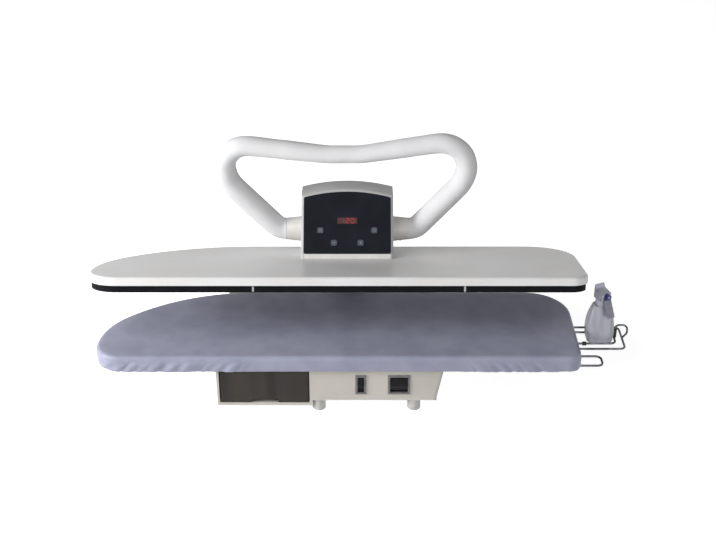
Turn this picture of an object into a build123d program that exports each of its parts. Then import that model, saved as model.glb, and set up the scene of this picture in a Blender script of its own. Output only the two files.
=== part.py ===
from build123d import *

import os
from math import asin, atan2, cos, degrees, hypot, radians, sin, tan

# Steam ironing press, free standing, with its head open. Millimetres.
# Every piece is drawn in one drawing frame with the head shut: x from the drawing's centre line,
# y back from the board's front edge, z up from the table. base_frame and head_frame then place it.

# Ironing surface, seen from above: straight front, long taper to a nose on the left
nose_reach = 518
heel_reach = 509.5
board_depth = 282
nose_corner_radius = 58
nose_radius = 158
taper_radius = 397
heel_front_radius = 30
heel_back_radius = 94

# Board
board_top_z = 144
cover_thickness = 1.5
skirt_height = 37
cover_edge_radius = 10
hem_width = 12
pad_thickness = 9
soft_gap = 0.3
pan_thickness = 1.2
pan_flange_height = 18
pan_gap = 0.5
elastic_width = 4
elastic_height = 3

# Head
open_angle = 15
pivot_reach = 235
pivot_z = 54
closed_gap = 0.5
head_grow = 8
plate_thickness = 12
band_lift = 2
band_height = 15
band_width = 9
band_inset = 4
head_cover_height = 18
head_cover_wall = 2.5
head_edge_radius = 6
fit_gap = 0.3
steam_hole_radius = 2
steam_hole_pitch_x = 56
steam_hole_pitch_y = 52
steam_hole_columns = 15
steam_hole_rows = 4

# Console on the head
console_x = 15
console_width = 202
console_front_setback = 125
console_overhang = 2
console_tilt = 25
console_face_length = 158
console_arch_drop = 13
console_top_slope = 8
console_wall = 3
console_corner_radius = 5
panel_foot = 12
panel_margin = 6
panel_top_margin = 6.5
panel_corner_radius = 4
panel_thickness = 3
panel_recess = 1.6
window_margin = 6
display_width = 43
display_height = 14
display_up = 74
button_radius = 10
button_travel = 0.8
button_rise = 1.2
button_lip = 1.5
post_above_display = 26
switch_stem = 4
stem_gap = 0.1
running_gap = 0.25
outer_button_x = 59
outer_button_up = 52
inner_button_x = 29
inner_button_up = 24
board_setback = 9
board_thickness = 1.6

# Handle, drawn in its own plane, which leans forward over the panel
handle_setback = 37
handle_height = 50
handle_lean = 20
handle_foot_x = 151
handle_left_reach = 266
handle_right_reach = 258.5
handle_shoulder_up = 127
handle_left_up = 215
handle_right_up = 225.5
handle_middle_up = 187.5
handle_flat_left = 44
handle_flat_right = 31
grip_radius = 23.5
core_radius = 10
core_wall = 2
core_gap = 0.2
foot_bend_run = 15
shoulder_bend_radius = 78
left_bend_radius = 49.5
right_bend_radius = 57
middle_bend_radius = 200
socket_length = 33
socket_root_radius = 28
socket_tip_radius = 24.5
screw_head_radius = 3.5
screw_head_height = 2
screw_radius = 1.9
screw_sink = 1.5

# Inside the head
element_radius = 4
element_offset = 10
element_half_depth = 45
element_left_x = -400
element_right_x = 440
element_bend_radius = 40
element_end_gap = 60
spine_half_width = 60
spine_front_y = 70
spine_setback = 6
spine_wall = 4
manifold_width = 44
manifold_depth = 36
manifold_height = 14
hose_radius = 4
hose_bend_radius = 18
hose_gap = 1.5
hose_setback = 32
cutout_x = -120
cutout_radius = 8
cutout_height = 12
blade_thickness = 1
blade_width = 6
blade_height = 5
clip_xs = (-178, 259)
clip_width = 4
clip_proud = 0.8
clip_margin = 2
bolt_radius = 4
bolt_head_radius = 6.5
bolt_head_height = 5
bolt_gap = 0.2
bolt_spacing_x = 40
bolt_setback = 32
bolt_spacing_y = 26

# Lift arm, hinge and springs
arm_half_width = 34
arm_wall = 5
arm_depth = 42
arm_front_setback = 62
arm_knee_reach = 126
arm_knee_radius = 60
arm_cover_wall = 2.5
arm_cover_gap = 1
arm_cover_foot = 62
arm_cover_overrun = 5
shaft_radius = 8
bush_wall = 3
bush_length = 14
shaft_running_gap = 0.05
barrel_wall = 4
spring_wire = 5
spring_radius = 13
spring_half_turns = 7
spring_pitch = 5.7
spring_leg = 40
bracket_thickness = 5
bracket_depth = 60
clip_thickness = 2
clip_rim = 4
shaft_chamfer = 1
slot_reach_front = 70
slot_reach_back = 11

# Base
foot_height = 28
foot_radius = 14
foot_chamfer = 1.5
foot_clearance = 0.5
front_right_foot_x = 158.5
back_left_foot_x = -225
back_right_foot_x = 170
front_foot_y = 27
back_foot_setback = 28
foot_screw_radius = 2
foot_screw_head_radius = 4
foot_screw_head = 3
foot_screw_sink = 8
foot_screw_end = 3
housing_left = 261.5
housing_right = 221.5
housing_draft = 15
housing_front_y = 12
housing_overhang = 269
housing_top_drop = 2
housing_wall = 3
housing_corner_radius = 8
base_plate_thickness = 1.5
rail_gauge = 3
rail_flange = 9
rail_hole_gap = 1
rail_back_gap = 1
rail_front_y = 75
rail_top_drop = 4
support_width = 30
support_wall = 2
support_half_length = 175
front_support_y = 90
back_support_setback = 55
slot_margin = 4

# Water tank and its bay
bay_gap = 1
bay_depth = 204
bay_drop = 14
bay_wall = 5
bay_floor = 7
mouth_overrun = 1
tank_gap = 0.5
tank_wall = 2.5
tank_corner_radius = 6
mouth_radius = 20
mouth_setback = 50
notch_width = 57
notch_height = 8
notch_depth = 14
valve_radius = 9
valve_bore = 4
valve_up = 26
valve_reach = 9
valve_gap = 0.4
seat_wall = 3
seat_spigot = 10
float_x = -238.5
float_setback = 12
float_radius = 6
float_height = 18

# Pump, hoses and relay board
pump_setback = 59
pump_foot_depth = 16
pump_radius = 16
pump_length = 62
coil_size = 36
line_radius = 5.5
line_bore = 4.1
line_setback = 64
line_bend_radius = 20
relay_board_x = 145
relay_board_y = 290
relay_board_width = 90
relay_board_depth = 80
standoff_height = 6
standoff_radius = 3.5
relay_size = 22
relay_height = 18
relay_pitch = 33

# Front controls
mains_x = 125.5
mains_width = 47
steam_x = 44.5
steam_width = 23
control_height = 47
control_up = 68
control_rim = 4.5
bezel_rise = 2.5
rocker_tilt = 8
rocker_crown = 1
rocker_pin_radius = 1.5
rocker_gap = 0.4
rocker_depth = 6
can_depth = 26
can_wall = 1.2

# Mains inlet in the rear panel
inlet_x = 140
inlet_up = 66
inlet_width = 50
inlet_height = 24
inlet_recess_width = 24
inlet_recess_height = 17
inlet_recess_depth = 16
inlet_body_depth = 24
inlet_body_wall = 2
inlet_flange = 2
pin_pitch = 7
pin_width = 2
pin_height = 4
pin_length = 12
pin_up = 2

# Accessory rack at the right-hand end
wire_radius = 2.5
rack_drop = 1
rack_start_x = 240
outer_wire_front_y = 98
outer_wire_back_y = 188
outer_wire_end_x = 618
inner_wire_front_y = 120
inner_wire_back_y = 167
inner_wire_end_x = 601
lower_wire_front_y = 31
lower_wire_back_y = 68
lower_wire_end_x = 559
rack_corner_radius = 12
rack_strap_width = 22
rack_strap_gauge = 3
rack_strap_xs = (280, 440)
rack_strap_front_y = 22
rack_strap_back_y = 200
loop_y = 143.5
loop_height = 33
loop_wire_radius = 2.2
loop_reach = 628
loop_foot_up = 12
loop_bends = (9, 12, 8)
sleeve_wall = 2
sleeve_length = 20
bumper_x = 528
bumper_length = 8

# Spray bottle: width, depth and corner radius of its sections, from the foot up
bottle_x = 566
bottle_y = 143.5
bottle_heights = (0, 10, 55, 84)
bottle_widths = (56, 58, 54, 38)
bottle_depths = (50, 52, 42, 24)
bottle_corners = (12, 12, 12, 10)
bottle_wall = 1.6
neck_radius = 11
neck_height = 12
collar_wall = 2.7
collar_height = 12
collar_lift = 1
spray_yaw = 65
spray_half_width = 12
spray_back = 14
spray_front = 15
spray_height = 22
spray_slope = 4
fin_height = 9
fin_length = 5
nozzle_radius = 5
nozzle_length = 9
nozzle_up = 14
trigger_half_width = 8
trigger_gap = 0.4
trigger_thickness = 5
trigger_pin_radius = 2
trigger_pivot_back = 4.5
trigger_pivot_up = 5
trigger_elbow_reach = 9.5
trigger_elbow_drop = 1
trigger_reach = 27.5
trigger_drop = 34
trigger_slot_depth = 11
trigger_slot_height = 11
dip_tube_radius = 2.5
dip_tube_x = -6
dip_tube_foot = 6

# Places back from the board's front edge that follow its depth, with the head, its arm and the base
pivot_y = board_depth + pivot_reach
console_front_y = board_depth - console_front_setback
console_back_y = board_depth + console_overhang
handle_y = board_depth - handle_setback
element_middle_y = board_depth / 2 + element_offset
element_front_y = element_middle_y - element_half_depth
element_back_y = element_middle_y + element_half_depth
spine_back_y = board_depth - spine_setback
hose_y = board_depth - hose_setback
bolt_y = board_depth - bolt_setback
arm_front_y = board_depth - arm_front_setback
arm_knee_y = board_depth + arm_knee_reach
back_support_y = board_depth - back_support_setback
housing_back_y = board_depth + housing_overhang
back_foot_y = housing_back_y - back_foot_setback
line_y = pivot_y - line_setback

# Heights that follow
skirt_bottom_z = board_top_z - skirt_height
pad_top_z = board_top_z - cover_thickness - soft_gap
pan_top_z = pad_top_z - pad_thickness
sole_z = board_top_z + closed_gap
plate_top_z = sole_z + plate_thickness
band_z = sole_z + band_lift
cover_rim_z = band_z + band_height
head_top_z = cover_rim_z + head_cover_height
band_grow = head_grow - band_inset
plate_grow = band_grow - band_width - fit_gap
housing_top_z = skirt_bottom_z - housing_top_drop
housing_bottom_z = foot_height + base_plate_thickness
wire_z = skirt_bottom_z - rack_drop - wire_radius
bay_floor_z = housing_bottom_z - bay_drop
rail_top_z = housing_top_z - rail_top_drop
bottle_base_z = wire_z + wire_radius + fit_gap

# Places across the base that follow: hinge brackets, rails, tank bay and tank
bracket_inner = arm_half_width + spring_half_turns / 2 * spring_pitch + spring_wire + 2 * fit_gap
rail_inner = bracket_inner + bracket_thickness
bay_right = console_x - rail_inner - rail_flange - bay_gap
bay_back_y = housing_front_y + bay_depth
pump_y = bay_back_y + pump_setback
bay_rear_y = bay_back_y - fit_gap
bay_top_z = housing_top_z - housing_wall - fit_gap
tank_left = -housing_left + bay_wall + tank_gap
tank_right = bay_right - bay_wall - tank_gap
tank_back_y = bay_rear_y - bay_wall - tank_gap
tank_bottom_z = bay_floor_z + bay_floor + fit_gap
tank_top_z = bay_top_z - tank_gap
tank_mid_x = (tank_left + tank_right) / 2
valve_z = tank_bottom_z + valve_up
nipple_x = console_x - rail_inner - rail_gauge
foot_places = (
    (bay_right + foot_clearance + foot_radius, front_foot_y),
    (front_right_foot_x, front_foot_y),
    (back_left_foot_x, back_foot_y),
    (back_right_foot_x, back_foot_y),
)

# The part's origin is under the middle of its outer box
rack_reach = loop_reach + wire_radius
middle_x = (nose_reach + head_grow - rack_reach) / 2
middle_y = -(housing_back_y + inlet_flange) / 2
base_frame = Location((middle_x, middle_y, 0))
hinge_in = Location((0, pivot_y, pivot_z), (-open_angle, 0, 0))
hinge_out = Location((0, -pivot_y, -pivot_z))
head_frame = base_frame * hinge_in * hinge_out


def level(frame, z, x=0, y=0):
    """Horizontal drawing plane at height z."""
    return Plane(frame * Plane(origin=(x, y, z)).location)


def facing(frame, x, y, z):
    """Upright drawing plane that looks to the front: x to the right, then z up."""
    return Plane(frame * Plane(origin=(x, y, z), x_dir=(1, 0, 0), z_dir=(0, -1, 0)).location)


def sideways(frame, x, y=0, z=0):
    """Upright drawing plane across the press: y to the back, then z up."""
    return Plane(frame * Plane(origin=(x, y, z), x_dir=(0, 1, 0), z_dir=(1, 0, 0)).location)


def board_outline(grow):
    """Plan of the ironing surface, grown outwards by grow."""
    left = -nose_reach
    right = heel_reach
    past_nose = taper_radius - (board_depth - nose_corner_radius)
    turn = degrees(asin(past_nose / (taper_radius - nose_radius)))
    taper_x = left + nose_radius + (taper_radius - nose_radius) * cos(radians(turn))
    corner_y = nose_corner_radius
    heel_y = board_depth - heel_back_radius
    with BuildSketch() as plan:
        with BuildLine():
            corner = CenterArc((left + corner_y, corner_y), nose_corner_radius + grow, 180, 90)
            front_corner = (right - heel_front_radius, heel_front_radius)
            front = CenterArc(front_corner, heel_front_radius + grow, 270, 90)
            heel = CenterArc((right - heel_back_radius, heel_y), heel_back_radius + grow, 0, 90)
            taper = CenterArc((taper_x, board_depth - taper_radius), taper_radius + grow, 90, 90 - turn)
            CenterArc((left + nose_radius, corner_y), nose_radius + grow, 180 - turn, turn)
            Line(corner @ 1, front @ 0)
            Line(front @ 1, heel @ 0)
            Line(heel @ 1, taper @ 0)
        make_face()
    return plan.sketch


def plan_slab(frame, grow, bottom, top, edge_radius=0):
    """Solid with the board's plan between two heights, its top edge rounded."""
    with BuildPart() as slab:
        with BuildSketch(level(frame, bottom)):
            add(board_outline(grow))
        extrude(amount=top - bottom)
        if edge_radius > 0:
            up = Axis((0, 0, 0), Plane(frame).z_dir)
            top_face = slab.faces().sort_by(up)[-1]
            fillet(top_face.edges(), edge_radius)
    return slab.part


def block(frame, x0, x1, y0, y1, z0, z1):
    """Rectangular solid between corners."""
    with BuildPart() as solid:
        with BuildSketch(level(frame, z0, (x0 + x1) / 2, (y0 + y1) / 2)):
            Rectangle(x1 - x0, y1 - y0)
        extrude(amount=z1 - z0)
    return solid.part


def rod_across(frame, x0, x1, y, z, radius):
    """Round bar along x."""
    with BuildPart() as solid:
        with BuildSketch(sideways(frame, x0, y, z)):
            Circle(radius)
        extrude(amount=x1 - x0)
    return solid.part


def ring_across(frame, x0, x1, y, z, outer, inner):
    """Round tube along x."""
    with BuildPart() as solid:
        add(rod_across(frame, x0, x1, y, z, outer))
        add(rod_across(frame, x0, x1, y, z, inner), mode=Mode.SUBTRACT)
    return solid.part


def upright(frame, x, y, z0, z1, radius):
    """Round bar along z."""
    with BuildPart() as solid:
        with BuildSketch(level(frame, z0, x, y)):
            Circle(radius)
        extrude(amount=z1 - z0)
    return solid.part


def wire_along(plane, points, radius, bend):
    """Round wire bent through points that lie in one plane."""
    with BuildPart() as wire:
        with BuildLine(plane) as path:
            FilletPolyline(*points, radius=bend)
        with BuildSketch(Plane(origin=path.line @ 0, z_dir=path.line % 0)):
            Circle(radius)
        sweep(path=path.line)
    return wire.part


os.makedirs("parts", exist_ok=True)

# Board pan, pad, cloth cover and the elastic in its hem

pan_grow = -cover_thickness - pan_gap
with BuildPart() as board_pan:
    add(plan_slab(base_frame, pan_grow, pan_top_z - pan_flange_height, pan_top_z))
    hollow_top = pan_top_z - pan_thickness
    hollow = plan_slab(base_frame, pan_grow - pan_thickness, pan_top_z - pan_flange_height, hollow_top)
    add(hollow, mode=Mode.SUBTRACT)
board_pan.part.label = "board_pan"
export_step(board_pan.part, "parts/board_pan.step")

pad_grow = -cover_thickness - soft_gap
pad_edge_radius = cover_edge_radius - cover_thickness - soft_gap
with BuildPart() as board_pad:
    add(plan_slab(base_frame, pad_grow, pan_top_z, pad_top_z, pad_edge_radius))
board_pad.part.label = "board_pad"
export_step(board_pad.part, "parts/board_pad.step")

with BuildPart() as board_cover:
    add(plan_slab(base_frame, 0, skirt_bottom_z, board_top_z, cover_edge_radius))
    inner_radius = cover_edge_radius - cover_thickness
    inner_bottom = skirt_bottom_z + cover_thickness
    inner_top = board_top_z - cover_thickness
    inside = plan_slab(base_frame, -cover_thickness, inner_bottom, inner_top, inner_radius)
    add(inside, mode=Mode.SUBTRACT)
    mouth = plan_slab(base_frame, -hem_width, skirt_bottom_z, inner_bottom)
    add(mouth, mode=Mode.SUBTRACT)
board_cover.part.label = "board_cover"
export_step(board_cover.part, "parts/board_cover.step")

elastic_grow = -cover_thickness - soft_gap
elastic_z = inner_bottom + soft_gap
with BuildPart() as cover_elastic:
    add(plan_slab(base_frame, elastic_grow, elastic_z, elastic_z + elastic_height))
    core = plan_slab(base_frame, elastic_grow - elastic_width, elastic_z, elastic_z + elastic_height)
    add(core, mode=Mode.SUBTRACT)
cover_elastic.part.label = "cover_elastic"
export_step(cover_elastic.part, "parts/cover_elastic.step")

# Cross members between the base and the pan

with BuildPart() as pan_supports:
    for support_y in (front_support_y, back_support_y):
        y0 = support_y - support_width / 2
        y1 = support_y + support_width / 2
        support_top_z = pan_top_z - pan_thickness
        left_x = console_x - support_half_length
        right_x = console_x + support_half_length
        add(block(base_frame, left_x, right_x, y0, y1, housing_top_z, support_top_z))
        tunnel = block(base_frame, left_x, right_x, y0 + support_wall, y1 - support_wall,
                       housing_top_z, support_top_z - support_wall)
        add(tunnel, mode=Mode.SUBTRACT)
pan_supports.part.label = "pan_supports"
export_step(pan_supports.part, "parts/pan_supports.step")

# Base housing: a moulded shell, open below and behind, with a bay for the tank on the left


def housing_solid(inset):
    """Outside of the base housing, or its inside when inset by the wall."""
    with BuildPart() as solid:
        with BuildSketch(facing(base_frame, 0, housing_front_y + inset, 0)):
            with BuildLine():
                Polyline(
                    (-housing_left + inset, housing_top_z - inset),
                    (housing_right - inset, housing_top_z - inset),
                    (housing_right - housing_draft - inset, housing_bottom_z),
                    (-housing_left + inset, housing_bottom_z),
                    close=True,
                )
            make_face()
        extrude(amount=-(housing_back_y - housing_front_y - inset))
        right_front = solid.edges().filter_by(GeomType.LINE).sort_by(Axis.Y)[:4].sort_by(Axis.X)[-1]
        fillet(right_front, housing_corner_radius - inset)
    return solid.part


slot_half = arm_half_width + arm_cover_gap + arm_cover_wall + slot_margin
slot_front_y = pivot_y - slot_reach_front
slot_back_y = pivot_y + slot_reach_back
with BuildPart() as base_housing:
    add(housing_solid(0))
    add(housing_solid(housing_wall), mode=Mode.SUBTRACT)
    bay_cut = block(base_frame, -housing_left, bay_right, housing_front_y, bay_back_y,
                    housing_bottom_z, housing_top_z - housing_wall)
    add(bay_cut, mode=Mode.SUBTRACT)
    arm_slot = block(base_frame, console_x - slot_half, console_x + slot_half, slot_front_y, slot_back_y,
                     housing_top_z - housing_wall, housing_top_z)
    add(arm_slot, mode=Mode.SUBTRACT)
    for control_x, control_width in ((mains_x, mains_width), (steam_x, steam_width)):
        half = control_width / 2 - control_rim + can_wall + fit_gap
        half_up = control_height / 2 - control_rim + can_wall + fit_gap
        hole = block(base_frame, control_x - half, control_x + half, housing_front_y,
                     housing_front_y + housing_wall, control_up - half_up, control_up + half_up)
        add(hole, mode=Mode.SUBTRACT)
base_housing.part.label = "base_housing"
export_step(base_housing.part, "parts/base_housing.step")

rear_panel_y = housing_back_y - housing_wall
with BuildPart() as rear_panel:
    inner_left = -housing_left + housing_wall + fit_gap
    inner_right = housing_right - housing_draft - housing_wall - fit_gap
    add(block(base_frame, inner_left, inner_right, rear_panel_y, housing_back_y,
              housing_bottom_z, housing_top_z - housing_wall - fit_gap))
    body_half = inlet_recess_width / 2 + inlet_body_wall
    body_half_up = inlet_recess_height / 2 + inlet_body_wall
    add(block(base_frame, inlet_x - body_half - fit_gap, inlet_x + body_half + fit_gap, rear_panel_y,
              housing_back_y, inlet_up - body_half_up - fit_gap, inlet_up + body_half_up + fit_gap),
        mode=Mode.SUBTRACT)
rear_panel.part.label = "rear_panel"
export_step(rear_panel.part, "parts/rear_panel.step")

with BuildPart() as base_plate:
    plate_right = housing_right - housing_draft
    add(block(base_frame, -housing_left, plate_right, housing_front_y, housing_back_y,
              foot_height, housing_bottom_z))
    add(block(base_frame, -housing_left, bay_right, housing_front_y, bay_back_y,
              foot_height, housing_bottom_z), mode=Mode.SUBTRACT)
    for foot_x, foot_y in foot_places:
        add(upright(base_frame, foot_x, foot_y, foot_height, housing_bottom_z,
                    foot_screw_radius + core_gap), mode=Mode.SUBTRACT)
base_plate.part.label = "base_plate"
export_step(base_plate.part, "parts/base_plate.step")

# Chassis rails, one each side of the hinge, with their flanges turned outwards

rail_back_y = rear_panel_y - rail_back_gap
with BuildPart() as chassis_rails:
    for side in (-1, 1):
        web_x = console_x + side * (rail_inner + rail_gauge / 2)
        flange_x = console_x + side * (rail_inner + rail_flange / 2)
        add(block(base_frame, web_x - rail_gauge / 2, web_x + rail_gauge / 2, rail_front_y, rail_back_y,
                  housing_bottom_z, rail_top_z))
        for flange_z in (housing_bottom_z, rail_top_z - rail_gauge):
            add(block(base_frame, flange_x - rail_flange / 2, flange_x + rail_flange / 2, rail_front_y,
                      rail_back_y, flange_z, flange_z + rail_gauge))
    rail_outer = rail_inner + rail_flange
    shaft_hole = rod_across(base_frame, console_x - rail_outer, console_x + rail_outer, pivot_y, pivot_z,
                            shaft_radius + rail_hole_gap)
    add(shaft_hole, mode=Mode.SUBTRACT)
    add(rod_across(base_frame, nipple_x - seat_spigot, nipple_x, line_y, valve_z, valve_bore))
chassis_rails.part.label = "chassis_rails"
export_step(chassis_rails.part, "parts/chassis_rails.step")

with BuildPart() as hinge_brackets:
    for side in (-1, 1):
        middle = console_x + side * (bracket_inner + bracket_thickness / 2)
        add(block(base_frame, middle - bracket_thickness / 2, middle + bracket_thickness / 2,
                  pivot_y - bracket_depth / 2, rail_back_y, housing_bottom_z, rail_top_z))
    shaft_hole = rod_across(base_frame, console_x - rail_inner, console_x + rail_inner, pivot_y, pivot_z,
                            shaft_radius + shaft_running_gap)
    add(shaft_hole, mode=Mode.SUBTRACT)
hinge_brackets.part.label = "hinge_brackets"
export_step(hinge_brackets.part, "parts/hinge_brackets.step")

shaft_half = rail_inner + rail_gauge + clip_thickness * 2
with BuildPart() as hinge_shaft:
    add(rod_across(base_frame, console_x - shaft_half, console_x + shaft_half, pivot_y, pivot_z,
                   shaft_radius))
    chamfer(hinge_shaft.edges().filter_by(GeomType.CIRCLE), shaft_chamfer)
hinge_shaft.part.label = "hinge_shaft"
export_step(hinge_shaft.part, "parts/hinge_shaft.step")

with BuildPart() as shaft_clips:
    for side in (-1, 1):
        inner_x = console_x + side * (rail_inner + rail_gauge + fit_gap)
        outer_x = inner_x + side * clip_thickness
        add(ring_across(base_frame, min(inner_x, outer_x), max(inner_x, outer_x), pivot_y, pivot_z,
                        shaft_radius + clip_rim, shaft_radius))
shaft_clips.part.label = "shaft_clips"
export_step(shaft_clips.part, "parts/shaft_clips.step")

# Lift arm: two cheeks, a foot on the head and a barrel on the hinge shaft


def head_holes(bottom, top):
    """The bolt holes and the hose hole between the arm, the top cover and the spine."""
    with BuildPart() as holes:
        with BuildSketch(level(head_frame, bottom, console_x, bolt_y)):
            with GridLocations(bolt_spacing_x, bolt_spacing_y, 2, 2):
                Circle(bolt_radius + bolt_gap)
        with BuildSketch(level(head_frame, bottom, console_x, hose_y)):
            Circle(hose_radius + hose_gap)
        extrude(amount=top - bottom)
    return holes.part


arm_mid_z = head_top_z + arm_depth / 2
limb_y = pivot_y - arm_knee_y
limb_z = arm_mid_z - pivot_z
limb_length = hypot(limb_y, limb_z)


def arm_profile(front_y, stop_short, depth, half_width):
    """Bent bar from the head back over the knee and down towards the pivot."""
    foot_y = pivot_y - limb_y * stop_short / limb_length
    foot_z = pivot_z + limb_z * stop_short / limb_length
    with BuildPart() as solid:
        with BuildSketch(sideways(head_frame, console_x)):
            with BuildLine():
                FilletPolyline((front_y, arm_mid_z), (arm_knee_y, arm_mid_z), (foot_y, foot_z),
                               radius=arm_knee_radius)
            trace(line_width=depth)
        extrude(amount=half_width, both=True)
    return solid.part


barrel_radius = shaft_radius + shaft_running_gap + bush_wall + barrel_wall
bush_radius = shaft_radius + shaft_running_gap + bush_wall
with BuildPart() as lift_arm:
    add(arm_profile(arm_front_y, 0, arm_depth, arm_half_width))
    add(rod_across(head_frame, console_x - arm_half_width, console_x + arm_half_width, pivot_y, pivot_z,
                   arm_depth / 2))
    cheek_gap = arm_half_width - arm_wall
    inside = arm_profile(arm_front_y - arm_wall, 0, arm_depth, cheek_gap)
    lifted = Location((0, 0, arm_wall))
    add(inside.moved(head_frame * lifted * head_frame.inverse()), mode=Mode.SUBTRACT)
    add(rod_across(head_frame, console_x - cheek_gap, console_x + cheek_gap, pivot_y, pivot_z,
                   arm_depth / 2), mode=Mode.SUBTRACT)
    add(rod_across(head_frame, console_x - cheek_gap, console_x + cheek_gap, pivot_y, pivot_z,
                   barrel_radius))
    add(rod_across(head_frame, console_x - arm_half_width, console_x + arm_half_width, pivot_y, pivot_z,
                   bush_radius), mode=Mode.SUBTRACT)
    add(head_holes(head_top_z, head_top_z + arm_wall), mode=Mode.SUBTRACT)
lift_arm.part.label = "lift_arm"
export_step(lift_arm.part, "parts/lift_arm.step")

with BuildPart() as hinge_bushes:
    for side in (-1, 1):
        inner_x = console_x + side * (arm_half_width - bush_length)
        outer_x = console_x + side * arm_half_width
        add(ring_across(head_frame, min(inner_x, outer_x), max(inner_x, outer_x), pivot_y, pivot_z,
                        bush_radius, shaft_radius + shaft_running_gap))
hinge_bushes.part.label = "hinge_bushes"
export_step(hinge_bushes.part, "parts/hinge_bushes.step")

cover_half = arm_half_width + arm_cover_gap + arm_cover_wall
cover_depth = arm_depth + 2 * (arm_cover_gap + arm_cover_wall)
with BuildPart() as arm_cover:
    add(arm_profile(console_back_y + fit_gap, arm_cover_foot, cover_depth, cover_half))
    add(arm_profile(console_back_y - arm_cover_overrun, arm_cover_foot - arm_cover_overrun,
                    arm_depth + 2 * arm_cover_gap, arm_half_width + arm_cover_gap), mode=Mode.SUBTRACT)
    add(block(head_frame, console_x - cover_half, console_x + cover_half, console_back_y,
              board_depth + head_grow + fit_gap, head_top_z - cover_depth, head_top_z + fit_gap),
        mode=Mode.SUBTRACT)
arm_cover.part.label = "arm_cover"
export_step(arm_cover.part, "parts/arm_cover.step")


# Torsion springs round the hinge shaft, between the arm and the brackets, that hold the head open


def spring_point(x, along, across):
    """Point beside the pivot, measured along the arm's limb and square to it."""
    y = pivot_y - along * limb_y / limb_length + across * limb_z / limb_length
    z = pivot_z + along * limb_z / limb_length + across * limb_y / limb_length
    return (x, y, z)


def lift_spring(side):
    """One spring: a leg on the arm, half turns that step outwards, and a short free end."""
    x = console_x + side * (arm_half_width + fit_gap + spring_wire / 2)
    step = side * spring_pitch / 2
    across = spring_radius
    bulge = hypot(spring_radius, step / 2)
    with BuildPart() as spring:
        with BuildLine(level(head_frame, 0)) as path:
            Line(spring_point(x, spring_leg, across), spring_point(x, 0, across))
            for half_turn in range(spring_half_turns):
                start = spring_point(x, 0, across)
                middle = spring_point(x + step / 2, -bulge if across > 0 else bulge, 0)
                end = spring_point(x + step, 0, -across)
                ThreePointArc(start, middle, end)
                x = x + step
                across = -across
            Line(spring_point(x, 0, across), spring_point(x, spring_radius, across))
        with BuildSketch(Plane(origin=path.line @ 0, z_dir=path.line % 0)):
            Circle(spring_wire / 2)
        sweep(path=path.line)
    return spring.part


print("least gap between spring turns", round(spring_pitch - spring_wire, 2), "mm")
with BuildPart() as lift_springs:
    for side in (-1, 1):
        add(lift_spring(side))
lift_springs.part.label = "lift_springs"
export_step(lift_springs.part, "parts/lift_springs.step")

# Head: sole plate with its element, edge band, top cover and the spine that carries them

with BuildPart() as heating_plate:
    add(plan_slab(head_frame, plate_grow, sole_z, plate_top_z))
    with BuildSketch(level(head_frame, sole_z, console_x, board_depth / 2)):
        with GridLocations(steam_hole_pitch_x, steam_hole_pitch_y, steam_hole_columns, steam_hole_rows):
            Circle(steam_hole_radius)
    extrude(amount=plate_thickness, mode=Mode.SUBTRACT)
heating_plate.part.label = "heating_plate"
export_step(heating_plate.part, "parts/heating_plate.step")

with BuildPart() as heating_element:
    element_plane = level(head_frame, plate_top_z + element_radius)
    element_route = [
        (console_x - element_end_gap / 2, element_front_y),
        (element_left_x, element_front_y),
        (element_left_x, element_back_y),
        (element_right_x, element_back_y),
        (element_right_x, element_front_y),
        (console_x + element_end_gap / 2, element_front_y),
    ]
    add(wire_along(element_plane, element_route, element_radius, element_bend_radius))
heating_element.part.label = "heating_element"
export_step(heating_element.part, "parts/heating_element.step")

with BuildPart() as edge_band:
    add(plan_slab(head_frame, band_grow, band_z, cover_rim_z))
    add(plan_slab(head_frame, band_grow - band_width, band_z, cover_rim_z), mode=Mode.SUBTRACT)
edge_band.part.label = "edge_band"
export_step(edge_band.part, "parts/edge_band.step")

with BuildPart() as band_clips:
    for clip_x in clip_xs:
        add(block(head_frame, clip_x - clip_width / 2, clip_x + clip_width / 2, -band_grow - clip_proud,
                  -band_grow, band_z + clip_margin, cover_rim_z - clip_margin))
band_clips.part.label = "band_clips"
export_step(band_clips.part, "parts/band_clips.step")

with BuildPart() as head_cover:
    add(plan_slab(head_frame, head_grow, cover_rim_z, head_top_z, head_edge_radius))
    inner_top_z = head_top_z - head_cover_wall
    add(plan_slab(head_frame, head_grow - head_cover_wall, cover_rim_z, inner_top_z,
                  head_edge_radius - head_cover_wall), mode=Mode.SUBTRACT)
    add(head_holes(inner_top_z, head_top_z), mode=Mode.SUBTRACT)
head_cover.part.label = "head_cover"
export_step(head_cover.part, "parts/head_cover.step")

with BuildPart() as head_spine:
    spine_left = console_x - spine_half_width
    spine_right = console_x + spine_half_width
    add(block(head_frame, spine_left, spine_right, spine_front_y, spine_back_y, plate_top_z, inner_top_z))
    add(block(head_frame, spine_left, spine_right, spine_front_y + spine_wall, spine_back_y - spine_wall,
              plate_top_z, inner_top_z - spine_wall), mode=Mode.SUBTRACT)
    add(head_holes(inner_top_z - spine_wall, inner_top_z), mode=Mode.SUBTRACT)
head_spine.part.label = "head_spine"
export_step(head_spine.part, "parts/head_spine.step")

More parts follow.
